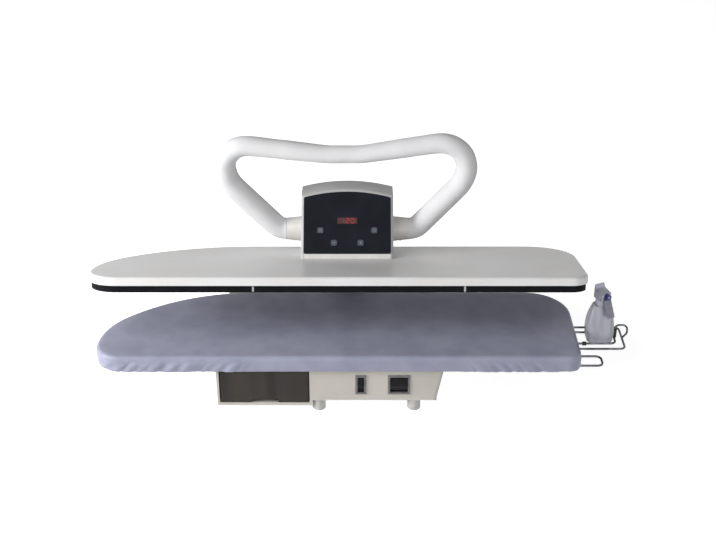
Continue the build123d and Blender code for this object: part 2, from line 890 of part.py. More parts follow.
with BuildPart() as arm_bolts:
    bolt_foot_z = inner_top_z - spine_wall
    bolt_plane = level(head_frame, bolt_foot_z - bolt_head_height, console_x, bolt_y)
    with BuildSketch(bolt_plane):
        with GridLocations(bolt_spacing_x, bolt_spacing_y, 2, 2):
            Circle(bolt_radius)
    extrude(amount=head_top_z + arm_wall - bolt_foot_z + bolt_head_height)
    for seat_z in (bolt_foot_z - bolt_head_height, head_top_z + arm_wall):
        with BuildSketch(level(head_frame, seat_z, console_x, bolt_y)):
            with GridLocations(bolt_spacing_x, bolt_spacing_y, 2, 2):
                RegularPolygon(bolt_head_radius, 6)
        extrude(amount=bolt_head_height)
arm_bolts.part.label = "arm_bolts"
export_step(arm_bolts.part, "parts/arm_bolts.step")

manifold_front_y = hose_y - manifold_depth / 2
with BuildPart() as steam_manifold:
    add(block(head_frame, console_x - manifold_width / 4, console_x + manifold_width / 4, manifold_front_y,
              manifold_front_y + manifold_depth, plate_top_z, plate_top_z + manifold_height))
steam_manifold.part.label = "steam_manifold"
export_step(steam_manifold.part, "parts/steam_manifold.step")

with BuildPart() as thermal_cutout:
    add(upright(head_frame, cutout_x, element_middle_y, plate_top_z, plate_top_z + cutout_height,
                cutout_radius))
    for side in (-1, 1):
        blade_x = cutout_x + side * cutout_radius / 2
        add(block(head_frame, blade_x - blade_thickness / 2, blade_x + blade_thickness / 2,
                  element_middle_y - blade_width / 2, element_middle_y + blade_width / 2,
                  plate_top_z + cutout_height, plate_top_z + cutout_height + blade_height))
thermal_cutout.part.label = "thermal_cutout"
export_step(thermal_cutout.part, "parts/thermal_cutout.step")

hose_mid_z = arm_mid_z + arm_wall / 2
hose_stop = barrel_radius + hose_radius
hose_route = [
    (hose_y, plate_top_z + manifold_height),
    (hose_y, hose_mid_z),
    (arm_knee_y, hose_mid_z),
    (pivot_y - limb_y * hose_stop / limb_length, pivot_z + arm_wall / 2 + limb_z * hose_stop / limb_length),
]
with BuildPart() as steam_hose:
    add(wire_along(sideways(head_frame, console_x), hose_route, hose_radius,
                   [hose_bend_radius, arm_knee_radius]))
steam_hose.part.label = "steam_hose"
export_step(steam_hose.part, "parts/steam_hose.step")

# Console: a moulded housing with a slanted face and an arched top

face_rise = console_face_length * cos(radians(console_tilt))
face_run = console_face_length * sin(radians(console_tilt))
face_top_y = console_front_y + face_run
face_top_z = head_top_z + face_rise
console_root = 20
arch_plane = Plane(head_frame * Plane(
    origin=(console_x, face_top_y, face_top_z), x_dir=(1, 0, 0),
    z_dir=(0, -cos(radians(console_top_slope)), -sin(radians(console_top_slope)))).location)


def console_solid(inset):
    """Outside of the console, or its inside when inset by the wall; it reaches below the top cover."""
    half = console_width / 2
    back_rise = (console_back_y - face_top_y) * tan(radians(console_top_slope))
    root_run = console_root * tan(radians(console_tilt))
    with BuildPart() as solid:
        with BuildSketch(sideways(head_frame, console_x)):
            with BuildLine():
                Polyline(
                    (console_front_y - root_run, head_top_z - console_root),
                    (face_top_y, face_top_z),
                    (console_back_y, face_top_z + back_rise),
                    (console_back_y, head_top_z - console_root),
                    close=True,
                )
            make_face()
            if inset > 0:
                offset(amount=-inset, kind=Kind.INTERSECTION)
        extrude(amount=half, both=True)
        with BuildSketch(arch_plane):
            with BuildLine():
                Polyline((-half, -console_arch_drop), (-half, -2 * console_face_length),
                         (half, -2 * console_face_length), (half, -console_arch_drop))
                ThreePointArc((-half, -console_arch_drop), (0, 0), (half, -console_arch_drop))
            make_face()
            if inset > 0:
                offset(amount=-inset, kind=Kind.INTERSECTION)
        extrude(amount=2 * console_face_length, both=True, mode=Mode.INTERSECT)
        if inset == 0:
            face_normal = Plane(head_frame * panel_location).z_dir
            face = solid.faces().sort_by(Axis((0, 0, 0), face_normal))[-1]
            fillet(face.edges(), console_corner_radius)
    return solid.part


panel_normal = (0, -cos(radians(console_tilt)), sin(radians(console_tilt)))
panel_location = Plane(
    origin=(console_x, console_front_y + panel_foot * sin(radians(console_tilt)),
            head_top_z + panel_foot * cos(radians(console_tilt))),
    x_dir=(1, 0, 0), z_dir=panel_normal).location


def panel_plane(out, x=0, up=0):
    """Plane of the slanted face, moved outwards, across and up the face."""
    return Plane(head_frame * panel_location * Location((x, up, out)))


def panel_outline(grow):
    """Arched outline of the control panel."""
    half = console_width / 2 - panel_margin
    middle = console_face_length - panel_foot - panel_top_margin
    side = middle - console_arch_drop
    with BuildSketch() as outline:
        with BuildLine():
            Polyline((-half, side), (-half, 0), (half, 0), (half, side))
            ThreePointArc((-half, side), (0, middle), (half, side))
        make_face()
        fillet(outline.vertices(), panel_corner_radius)
        if grow != 0:
            offset(amount=grow)
    return outline.sketch


def console_side(side):
    """Plane on the console's side where the handle leaves it."""
    origin = (console_x + side * console_width / 2, handle_y, head_top_z + handle_height)
    return Plane(head_frame * Plane(origin=origin, x_dir=(0, 1, 0), z_dir=(side, 0, 0)).location)


with BuildPart() as control_housing:
    add(console_solid(0))
    add(console_solid(console_wall), mode=Mode.SUBTRACT)
    add(block(head_frame, console_x - console_width, console_x + console_width, 0,
              console_back_y + console_root, head_top_z - 2 * console_root, head_top_z), mode=Mode.SUBTRACT)
    with BuildSketch(panel_plane(0)):
        add(panel_outline(fit_gap))
    extrude(amount=-panel_recess, mode=Mode.SUBTRACT)
    with BuildSketch(panel_plane(0)):
        add(panel_outline(-window_margin))
    extrude(amount=-2 * console_wall, mode=Mode.SUBTRACT)
    for side in (-1, 1):
        with BuildSketch(console_side(side)):
            Circle(core_radius + core_gap)
        extrude(amount=-2 * console_wall, mode=Mode.SUBTRACT)
    exit_half = arm_half_width + fit_gap
    add(block(head_frame, console_x - exit_half, console_x + exit_half, console_back_y - 2 * console_wall,
              console_back_y, head_top_z, head_top_z + arm_depth + fit_gap), mode=Mode.SUBTRACT)
control_housing.part.label = "control_housing"
export_step(control_housing.part, "parts/control_housing.step")

button_places = {
    "button_steam": (-outer_button_x, outer_button_up),
    "button_minus": (-inner_button_x, inner_button_up),
    "button_plus": (inner_button_x, inner_button_up),
    "button_power": (outer_button_x, outer_button_up),
}
post_xs = console_width / 2 - panel_margin - window_margin - 2 * standoff_radius
post_low = window_margin + 2 * standoff_radius
post_high = display_up + post_above_display
with BuildPart() as control_panel:
    with BuildSketch(panel_plane(-panel_recess)):
        add(panel_outline(0))
    extrude(amount=panel_thickness)
    with BuildSketch(panel_plane(-panel_recess)):
        with Locations(list(button_places.values())):
            Circle(button_radius + running_gap)
        with Locations((0, display_up)):
            Rectangle(display_width + 2 * fit_gap, display_height + 2 * fit_gap)
    extrude(amount=panel_thickness, mode=Mode.SUBTRACT)
    with BuildSketch(panel_plane(-panel_recess)):
        with Locations(*[(post_x, up) for post_x in (-post_xs, post_xs) for up in (post_low, post_high)]):
            Circle(standoff_radius)
    extrude(amount=-board_setback)
control_panel.part.label = "control_panel"
export_step(control_panel.part, "parts/control_panel.step")

with BuildPart() as display_window:
    with BuildSketch(panel_plane(-panel_recess, 0, display_up)):
        Rectangle(display_width, display_height)
    extrude(amount=panel_thickness)
display_window.part.label = "display_window"
export_step(display_window.part, "parts/display_window.step")

switch_reach = board_setback - button_lip - running_gap - switch_stem
with BuildPart() as control_board:
    board_back = -panel_recess - board_setback - board_thickness
    with BuildSketch(panel_plane(board_back, 0, (post_low + post_high) / 2)):
        Rectangle(2 * (post_xs + standoff_radius), post_high - post_low + 2 * standoff_radius)
    extrude(amount=board_thickness)
    with BuildSketch(panel_plane(-panel_recess - board_setback)):
        with Locations(list(button_places.values())):
            Rectangle(2 * standoff_radius, 2 * standoff_radius)
    extrude(amount=switch_reach)
    with BuildSketch(panel_plane(-panel_recess - board_setback, 0, display_up)):
        Rectangle(display_width, display_height)
    extrude(amount=board_setback - fit_gap)
control_board.part.label = "control_board"
export_step(control_board.part, "parts/control_board.step")

for name, (button_x, button_up) in button_places.items():
    lip_out = -panel_recess - running_gap / 5
    with BuildPart() as button:
        with BuildSketch(panel_plane(lip_out, button_x, button_up)):
            Circle(button_radius)
        extrude(amount=panel_thickness + button_rise)
        fillet(button.edges().sort_by(Axis((0, 0, 0), panel_plane(0).z_dir))[-1], button_rise / 2)
        with BuildSketch(panel_plane(lip_out, button_x, button_up)):
            Circle(button_radius + button_lip)
        extrude(amount=-button_lip)
        with BuildSketch(panel_plane(lip_out - button_lip, button_x, button_up)):
            Circle(standoff_radius)
        stem = board_setback - running_gap / 5 - button_lip - switch_reach - button_travel - stem_gap
        extrude(amount=-stem)
    button.part.label = name
    export_step(button.part, f"parts/{name}.step")

# Handle: a white grip on a steel tube, bent in one plane, between two sockets on the console

left_limb_angle = atan2(handle_shoulder_up, handle_left_reach - handle_foot_x)
right_limb_angle = atan2(handle_shoulder_up, handle_right_reach - handle_foot_x)
left_foot_bend_radius = foot_bend_run / tan(left_limb_angle / 2)
right_foot_bend_radius = foot_bend_run / tan(right_limb_angle / 2)
handle_plane = Plane(head_frame * Plane(
    origin=(console_x, handle_y, head_top_z + handle_height), x_dir=(1, 0, 0),
    z_dir=(0, -cos(radians(handle_lean)), -sin(radians(handle_lean)))).location)


def handle_tube(start_x, outer, inner):
    """Bent tube from start_x on one side of the console round to the other."""
    route = [
        (-start_x, 0),
        (-handle_foot_x, 0),
        (-handle_left_reach, handle_shoulder_up),
        (-handle_left_reach, handle_left_up),
        (-handle_flat_left, handle_middle_up),
        (handle_flat_right, handle_middle_up),
        (handle_right_reach, handle_right_up),
        (handle_right_reach, handle_shoulder_up),
        (handle_foot_x, 0),
        (start_x, 0),
    ]
    bends = [
        left_foot_bend_radius, shoulder_bend_radius, left_bend_radius, middle_bend_radius,
        middle_bend_radius, right_bend_radius, shoulder_bend_radius, right_foot_bend_radius,
    ]
    with BuildPart() as tube:
        with BuildLine(handle_plane) as path:
            FilletPolyline(*route, radius=bends)
        with BuildSketch(Plane(origin=path.line @ 0, z_dir=path.line % 0)):
            Circle(outer)
            Circle(inner, mode=Mode.SUBTRACT)
        sweep(path=path.line)
    return tube.part


socket_end_x = console_width / 2 + socket_length
with BuildPart() as handle_core:
    add(handle_tube(console_width / 2 - 3 * console_wall, core_radius, core_radius - core_wall))
handle_core.part.label = "handle_core"
export_step(handle_core.part, "parts/handle_core.step")

with BuildPart() as handle_grip:
    add(handle_tube(socket_end_x, grip_radius, core_radius + core_gap))
handle_grip.part.label = "handle_grip"
export_step(handle_grip.part, "parts/handle_grip.step")

socket_mid_radius = (socket_root_radius + socket_tip_radius) / 2
socket_taper = degrees(atan2(socket_root_radius - socket_tip_radius, socket_length))
socket_mid = console_width / 2 + socket_length / 2
seat_drop = socket_mid_radius - screw_sink
with BuildPart() as handle_sockets:
    for side in (-1, 1):
        with BuildSketch(console_side(side)):
            Circle(socket_root_radius)
        extrude(amount=socket_length, taper=socket_taper)
        with BuildSketch(console_side(side)):
            Circle(core_radius + core_gap)
        extrude(amount=socket_length, mode=Mode.SUBTRACT)
    for side in (-1, 1):
        foot_x = console_x + side * socket_mid
        foot_z = head_top_z + handle_height
        add(upright(head_frame, foot_x, handle_y, foot_z - seat_drop, foot_z - core_radius,
                    screw_radius + core_gap), mode=Mode.SUBTRACT)
        add(upright(head_frame, foot_x, handle_y, foot_z - 2 * socket_root_radius, foot_z - seat_drop,
                    screw_head_radius + core_gap), mode=Mode.SUBTRACT)
handle_sockets.part.label = "handle_sockets"
export_step(handle_sockets.part, "parts/handle_sockets.step")

with BuildPart() as handle_screws:
    for side in (-1, 1):
        foot_x = console_x + side * socket_mid
        foot_z = head_top_z + handle_height
        add(upright(head_frame, foot_x, handle_y, foot_z - seat_drop, foot_z - core_radius - core_gap,
                    screw_radius))
        add(upright(head_frame, foot_x, handle_y, foot_z - seat_drop - screw_head_height,
                    foot_z - seat_drop, screw_head_radius))
handle_screws.part.label = "handle_screws"
export_step(handle_screws.part, "parts/handle_screws.step")

# Water tank and the bay it slides into from the front


def tube_back(x, z, y0, y1, outer, inner=0):
    """Round bar or tube along y."""
    with BuildPart() as tube:
        with BuildSketch(facing(base_frame, x, y1, z)):
            Circle(outer)
            if inner > 0:
                Circle(inner, mode=Mode.SUBTRACT)
        extrude(amount=y1 - y0)
    return tube.part


with BuildPart() as tank_bay:
    add(block(base_frame, -housing_left, bay_right, housing_front_y, bay_rear_y, bay_floor_z, bay_top_z))
    add(block(base_frame, -housing_left + bay_wall, bay_right - bay_wall, housing_front_y - mouth_overrun,
              bay_rear_y - bay_wall, bay_floor_z + bay_floor, bay_top_z), mode=Mode.SUBTRACT)
    add(tube_back(tank_mid_x, valve_z, tank_back_y, bay_rear_y, valve_radius + valve_gap),
        mode=Mode.SUBTRACT)
tank_bay.part.label = "tank_bay"
export_step(tank_bay.part, "parts/tank_bay.step")

notch_top_z = tank_bottom_z + notch_height
with BuildPart() as tank_cavity:
    add(block(base_frame, tank_left + tank_wall, tank_right - tank_wall, housing_front_y + tank_wall,
              tank_back_y - tank_wall, tank_bottom_z + tank_wall, tank_top_z - tank_wall))
    fillet(tank_cavity.edges().filter_by(Axis.Z), tank_corner_radius - tank_wall)

with BuildPart() as water_tank:
    add(block(base_frame, tank_left, tank_right, housing_front_y, tank_back_y, tank_bottom_z, tank_top_z))
    fillet(water_tank.edges().filter_by(Axis.Z), tank_corner_radius)
    add(tank_cavity.part, mode=Mode.SUBTRACT)
    add(block(base_frame, tank_mid_x - notch_width / 2 - tank_wall, tank_mid_x + notch_width / 2 + tank_wall,
              housing_front_y, housing_front_y + notch_depth + tank_wall, tank_bottom_z,
              notch_top_z + tank_wall))
    add(block(base_frame, tank_mid_x - notch_width / 2, tank_mid_x + notch_width / 2, housing_front_y,
              housing_front_y + notch_depth, tank_bottom_z, notch_top_z), mode=Mode.SUBTRACT)
    add(upright(base_frame, tank_mid_x, housing_front_y + mouth_setback, tank_top_z - tank_wall, tank_top_z,
                mouth_radius), mode=Mode.SUBTRACT)
    add(tube_back(tank_mid_x, valve_z, tank_back_y - tank_wall, tank_back_y, valve_bore),
        mode=Mode.SUBTRACT)
water_tank.part.label = "water_tank"
export_step(water_tank.part, "parts/water_tank.step")

with BuildPart() as tank_float:
    add(upright(base_frame, float_x, housing_front_y + float_setback, tank_bottom_z + tank_wall,
                tank_bottom_z + tank_wall + float_height, float_radius))
    chamfer(tank_float.edges(), 1)
tank_float.part.label = "tank_float"
export_step(tank_float.part, "parts/tank_float.step")

valve_end_y = tank_back_y + valve_reach
with BuildPart() as tank_valve:
    add(tube_back(tank_mid_x, valve_z, tank_back_y, valve_end_y, valve_radius, valve_bore))
tank_valve.part.label = "tank_valve"
export_step(tank_valve.part, "parts/tank_valve.step")

seat_back_y = valve_end_y + valve_gap + seat_wall
with BuildPart() as valve_seat:
    add(tube_back(tank_mid_x, valve_z, bay_rear_y, seat_back_y, valve_radius + valve_gap + seat_wall,
                  valve_radius + valve_gap))
    add(tube_back(tank_mid_x, valve_z, valve_end_y + valve_gap, seat_back_y, valve_radius + valve_gap))
    add(tube_back(tank_mid_x, valve_z, seat_back_y, seat_back_y + seat_spigot, valve_bore))
    add(tube_back(tank_mid_x, valve_z, valve_end_y, seat_back_y + seat_spigot, valve_bore / 2),
        mode=Mode.SUBTRACT)
valve_seat.part.label = "valve_seat"
export_step(valve_seat.part, "parts/valve_seat.step")

# Pump behind the tank, with its inlet line from the valve seat and its outlet line to the rail

pump_front_y = pump_y - coil_size / 2
pump_left = tank_mid_x - pump_radius
with BuildPart() as water_pump:
    add(rod_across(base_frame, pump_left, pump_left + pump_length, pump_y, valve_z, pump_radius))
    coil_left = pump_left + pump_length - coil_size
    add(block(base_frame, coil_left, coil_left + coil_size, pump_front_y, pump_front_y + coil_size,
              valve_z - coil_size / 2, valve_z + coil_size / 2))
    add(block(base_frame, pump_left, pump_left + pump_length, pump_y - pump_foot_depth / 2,
              pump_y + pump_foot_depth / 2, housing_bottom_z, valve_z))
    add(tube_back(tank_mid_x, valve_z, pump_y - pump_radius - seat_spigot, pump_y, valve_bore))
    outlet_start_y = pump_y + pump_radius + seat_spigot
    add(tube_back(tank_mid_x, valve_z, pump_y, outlet_start_y, valve_bore))
water_pump.part.label = "water_pump"
export_step(water_pump.part, "parts/water_pump.step")

with BuildPart() as water_lines:
    add(tube_back(tank_mid_x, valve_z, seat_back_y + fit_gap, pump_y - pump_radius - fit_gap,
                  line_radius, line_bore))
    with BuildLine(level(base_frame, valve_z)) as line_path:
        FilletPolyline((tank_mid_x, pump_y + pump_radius + fit_gap), (tank_mid_x, line_y),
                       (nipple_x - fit_gap, line_y), radius=line_bend_radius)
    with BuildSketch(Plane(origin=line_path.line @ 0, z_dir=line_path.line % 0)):
        Circle(line_radius)
        Circle(line_bore, mode=Mode.SUBTRACT)
    sweep(path=line_path.line)
water_lines.part.label = "water_lines"
export_step(water_lines.part, "parts/water_lines.step")

relay_board_z = housing_bottom_z + standoff_height
with BuildPart() as relay_board:
    relay_x0 = relay_board_x - relay_board_width / 2
    relay_x1 = relay_board_x + relay_board_width / 2
    relay_y0 = relay_board_y - relay_board_depth / 2
    relay_y1 = relay_board_y + relay_board_depth / 2
    add(block(base_frame, relay_x0, relay_x1, relay_y0, relay_y1, relay_board_z,
              relay_board_z + board_thickness))
    with BuildSketch(level(base_frame, housing_bottom_z, relay_board_x, relay_board_y)):
        post_inset = 4 * standoff_radius
        with GridLocations(relay_board_width - post_inset, relay_board_depth - post_inset, 2, 2):
            Circle(standoff_radius)
    extrude(amount=standoff_height)
    with BuildSketch(level(base_frame, relay_board_z + board_thickness, relay_board_x, relay_board_y)):
        with GridLocations(relay_pitch, relay_pitch, 2, 2):
            Rectangle(relay_size, relay_size)
    extrude(amount=relay_height)
relay_board.part.label = "relay_board"
export_step(relay_board.part, "parts/relay_board.step")

# Front controls: two rockers, each on pins in its own bezel

bezel_face_y = housing_front_y - bezel_rise
rocker_pivot_y = bezel_face_y + rocker_depth
rocker_radius = control_height / 2 - control_rim - rocker_gap


def control_bezel(x, width):
    """Frame on the housing's front with a closed can behind it."""
    half = width / 2
    half_up = control_height / 2
    inner = half - control_rim
    inner_up = half_up - control_rim
    can_back_y = bezel_face_y + can_depth
    with BuildPart() as bezel:
        add(block(base_frame, x - half, x + half, bezel_face_y, housing_front_y,
                  control_up - half_up, control_up + half_up))
        chamfer(bezel.faces().sort_by(Axis.Y)[0].edges(), bezel_rise / 3)
        add(block(base_frame, x - inner - can_wall, x + inner + can_wall, housing_front_y,
                  can_back_y + can_wall, control_up - inner_up - can_wall, control_up + inner_up + can_wall))
        add(block(base_frame, x - inner, x + inner, bezel_face_y, can_back_y, control_up - inner_up,
                  control_up + inner_up), mode=Mode.SUBTRACT)
        add(rod_across(base_frame, x - inner - can_wall, x + inner + can_wall, rocker_pivot_y, control_up,
                       rocker_pin_radius + shaft_running_gap), mode=Mode.SUBTRACT)
    return bezel.part


def rocker(x, width):
    """Rocker paddle with a shallow V face, pressed in at the bottom."""
    half = width / 2 - control_rim - rocker_gap
    crown = rocker_depth + rocker_crown
    fall = rocker_radius * tan(radians(rocker_tilt))
    tilted = Location((0, rocker_pivot_y, control_up), (rocker_tilt, 0, 0))
    with BuildPart() as paddle:
        with BuildSketch(Plane(base_frame * tilted * Plane(origin=(x, 0, 0), x_dir=(0, -1, 0),
                                                           z_dir=(-1, 0, 0)).location)):
            Circle(rocker_radius)
            with Locations((-rocker_radius, 0)):
                Rectangle(2 * (rocker_radius - rocker_depth / 2), 3 * rocker_radius, mode=Mode.SUBTRACT)
            for way in (-1, 1):
                with BuildLine():
                    Polyline((crown, 0), (crown - fall, way * rocker_radius),
                             (3 * crown, way * rocker_radius), (3 * crown, 0), close=True)
                make_face(mode=Mode.SUBTRACT)
        extrude(amount=half, both=True)
        pin_half = width / 2 - control_rim + can_wall
        add(rod_across(base_frame, x - pin_half, x + pin_half, rocker_pivot_y, control_up, rocker_pin_radius))
    return paddle.part


with BuildPart() as mains_bezel:
    add(control_bezel(mains_x, mains_width))
mains_bezel.part.label = "mains_bezel"
export_step(mains_bezel.part, "parts/mains_bezel.step")

with BuildPart() as mains_rocker:
    add(rocker(mains_x, mains_width))
mains_rocker.part.label = "mains_rocker"
export_step(mains_rocker.part, "parts/mains_rocker.step")

with BuildPart() as steam_bezel:
    add(control_bezel(steam_x, steam_width))
steam_bezel.part.label = "steam_bezel"
export_step(steam_bezel.part, "parts/steam_bezel.step")

with BuildPart() as steam_rocker:
    add(rocker(steam_x, steam_width))
steam_rocker.part.label = "steam_rocker"
export_step(steam_rocker.part, "parts/steam_rocker.step")

# Mains inlet in the rear panel

inlet_face_y = housing_back_y + inlet_flange
with BuildPart() as mains_inlet:
    add(block(base_frame, inlet_x - inlet_width / 2, inlet_x + inlet_width / 2, housing_back_y,
              inlet_face_y, inlet_up - inlet_height / 2, inlet_up + inlet_height / 2))
    add(block(base_frame, inlet_x - body_half, inlet_x + body_half, inlet_face_y - inlet_body_depth,
              inlet_face_y, inlet_up - body_half_up, inlet_up + body_half_up))
    add(block(base_frame, inlet_x - inlet_recess_width / 2, inlet_x + inlet_recess_width / 2,
              inlet_face_y - inlet_recess_depth, inlet_face_y, inlet_up - inlet_recess_height / 2,
              inlet_up + inlet_recess_height / 2), mode=Mode.SUBTRACT)
mains_inlet.part.label = "mains_inlet"
export_step(mains_inlet.part, "parts/mains_inlet.step")

with BuildPart() as inlet_pins:
    for place in (-1, 0, 1):
        pin_x = inlet_x + place * pin_pitch
        pin_z = inlet_up + pin_up + (pin_up if place == 0 else 0)
        pin_back_y = inlet_face_y - inlet_recess_depth
        add(block(base_frame, pin_x - pin_width / 2, pin_x + pin_width / 2, pin_back_y,
                  pin_back_y + pin_length, pin_z - pin_height / 2, pin_z + pin_height / 2))
inlet_pins.part.label = "inlet_pins"
export_step(inlet_pins.part, "parts/inlet_pins.step")

# Feet and their screws

with BuildPart() as feet:
    for foot_x, foot_y in foot_places:
        add(upright(base_frame, foot_x, foot_y, 0, foot_height, foot_radius))
    chamfer(feet.edges().group_by(Axis.Z)[0], foot_chamfer)
    for foot_x, foot_y in foot_places:
        add(upright(base_frame, foot_x, foot_y, 0, foot_screw_sink, foot_screw_head_radius + core_gap),
            mode=Mode.SUBTRACT)
        add(upright(base_frame, foot_x, foot_y, foot_screw_sink, foot_height, foot_screw_radius + core_gap),
            mode=Mode.SUBTRACT)
feet.part.label = "feet"
export_step(feet.part, "parts/feet.step")

with BuildPart() as foot_screws:
    for foot_x, foot_y in foot_places:
        add(upright(base_frame, foot_x, foot_y, foot_screw_sink - foot_screw_head, foot_screw_sink,
                    foot_screw_head_radius))
        add(upright(base_frame, foot_x, foot_y, foot_screw_sink, housing_bottom_z + foot_screw_end,
                    foot_screw_radius))
foot_screws.part.label = "foot_screws"
export_step(foot_screws.part, "parts/foot_screws.step")

# Accessory rack: bent wire under straps that hang from the pan


def wire_loop(front_y, back_y, end_x):
    """Long wire loop that sticks out to the right of the board."""
    route = [(rack_start_x, front_y), (end_x, front_y), (end_x, back_y), (rack_start_x, back_y)]
    return wire_along(level(base_frame, wire_z), route, wire_radius, rack_corner_radius)


strap_z = wire_z + wire_radius
strap_top_z = pan_top_z - pan_thickness
with BuildPart() as rack_straps:
    for strap_x in rack_strap_xs:
        x0 = strap_x - rack_strap_width / 2
        x1 = strap_x + rack_strap_width / 2
        add(block(base_frame, x0, x1, rack_strap_front_y, rack_strap_back_y, strap_z, strap_top_z))
        add(block(base_frame, x0, x1, rack_strap_front_y + rack_strap_gauge,
                  rack_strap_back_y - rack_strap_gauge, strap_z + rack_strap_gauge, strap_top_z),
            mode=Mode.SUBTRACT)
rack_straps.part.label = "rack_straps"
export_step(rack_straps.part, "parts/rack_straps.step")

with BuildPart() as rack_frame:
    add(wire_loop(outer_wire_front_y, outer_wire_back_y, outer_wire_end_x))
    add(wire_loop(inner_wire_front_y, inner_wire_back_y, inner_wire_end_x))
    loop_route = [
        (inner_wire_end_x, 0),
        (inner_wire_end_x, loop_height),
        (loop_reach, loop_height),
        (loop_reach, loop_foot_up),
        (outer_wire_end_x, 0),
    ]
    add(wire_along(facing(base_frame, 0, loop_y, wire_z), loop_route, loop_wire_radius, list(loop_bends)))
    add(wire_loop(lower_wire_front_y, lower_wire_back_y, lower_wire_end_x))
rack_frame.part.label = "rack_frame"
export_step(rack_frame.part, "parts/rack_frame.step")

sleeve_radius = wire_radius + sleeve_wall
sleeve_z = wire_z + wire_radius + fit_gap
with BuildPart() as rack_sleeves:
    add(upright(base_frame, inner_wire_end_x, loop_y, sleeve_z, sleeve_z + sleeve_length, sleeve_radius))
    add(upright(base_frame, inner_wire_end_x, loop_y, sleeve_z, sleeve_z + sleeve_length,
                loop_wire_radius + core_gap / 2), mode=Mode.SUBTRACT)
    add(ring_across(base_frame, bumper_x, bumper_x + bumper_length, inner_wire_front_y, wire_z,
                    sleeve_radius, wire_radius + core_gap / 2))
rack_sleeves.part.label = "rack_sleeves"
export_step(rack_sleeves.part, "parts/rack_sleeves.step")

# Spray bottle, standing on the rack

bottle_frame = base_frame * Location((bottle_x, bottle_y, bottle_base_z))
spray_frame = bottle_frame * Location((0, 0, 0), (0, 0, -spray_yaw))
shoulder_up = bottle_heights[-1]
collar_up = shoulder_up + collar_lift
spray_up = collar_up + collar_height
collar_bore = neck_radius + fit_gap
trigger_pivot_x = spray_front - trigger_pivot_back
trigger_pivot_z = spray_up + trigger_pivot_up


def bottle_solid(inset):
    """Outside of the bottle, or its inside when inset by the wall."""
    heights = (bottle_heights[0] + inset, *bottle_heights[1:-1], shoulder_up - inset)
    with BuildPart() as solid:
        for up, width, depth, corner in zip(heights, bottle_widths, bottle_depths, bottle_corners):
            with BuildSketch(level(bottle_frame, up)):
                RectangleRounded(width - 2 * inset, depth - 2 * inset, corner - inset)
        loft()
        add(upright(bottle_frame, 0, 0, shoulder_up - inset, shoulder_up + neck_height,
                    neck_radius - inset))
    return solid.part


def pin_through(frame, x, z, half_length, radius):
    """Round pin from front to back, the same length both ways."""
    with BuildPart() as pin:
        with BuildSketch(facing(frame, x, 0, z)):
            Circle(radius)
        extrude(amount=half_length, both=True)
    return pin.part


with BuildPart() as bottle_body:
    add(bottle_solid(0))
    add(bottle_solid(bottle_wall), mode=Mode.SUBTRACT)
bottle_body.part.label = "bottle_body"
export_step(bottle_body.part, "parts/bottle_body.step")

with BuildPart() as bottle_head:
    add(upright(bottle_frame, 0, 0, collar_up, spray_up, collar_bore + collar_wall))
    add(upright(bottle_frame, 0, 0, collar_up, spray_up, collar_bore), mode=Mode.SUBTRACT)
    with BuildSketch(facing(spray_frame, 0, 0, 0)):
        with BuildLine():
            Polyline(
                (-spray_back, spray_up),
                (-spray_back, spray_up + spray_height + fin_height),
                (-spray_back + fin_length, spray_up + spray_height),
                (spray_front, spray_up + spray_height - spray_slope),
                (spray_front, spray_up),
                close=True,
            )
        make_face()
    extrude(amount=spray_half_width, both=True)
    with BuildSketch(sideways(spray_frame, spray_front, 0, spray_up + nozzle_up)):
        Circle(nozzle_radius)
    extrude(amount=nozzle_length)
    slot_half_width = trigger_half_width + trigger_gap
    add(block(spray_frame, spray_front - trigger_slot_depth, spray_front, -slot_half_width, slot_half_width,
              spray_up, spray_up + trigger_slot_height), mode=Mode.SUBTRACT)
    add(pin_through(spray_frame, trigger_pivot_x, trigger_pivot_z, spray_half_width,
                    trigger_pin_radius + shaft_running_gap), mode=Mode.SUBTRACT)
    add(upright(spray_frame, dip_tube_x, 0, dip_tube_foot, spray_up, dip_tube_radius))
bottle_head.part.label = "bottle_head"
export_step(bottle_head.part, "parts/bottle_head.step")

with BuildPart() as bottle_trigger:
    with BuildSketch(facing(spray_frame, trigger_pivot_x, 0, trigger_pivot_z)):
        with BuildLine():
            Polyline((0, 0), (trigger_elbow_reach, -trigger_elbow_drop), (trigger_reach, -trigger_drop))
        trace(line_width=trigger_thickness)
        Circle(trigger_pin_radius + trigger_thickness / 2)
    extrude(amount=trigger_half_width, both=True)
    add(pin_through(spray_frame, trigger_pivot_x, trigger_pivot_z, spray_half_width, trigger_pin_radius))
bottle_trigger.part.label = "bottle_trigger"
export_step(bottle_trigger.part, "parts/bottle_trigger.step")
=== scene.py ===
import bmesh
import bpy
from math import asin, cos, pi, radians, sin, tan
from mathutils import Matrix, Vector, noise


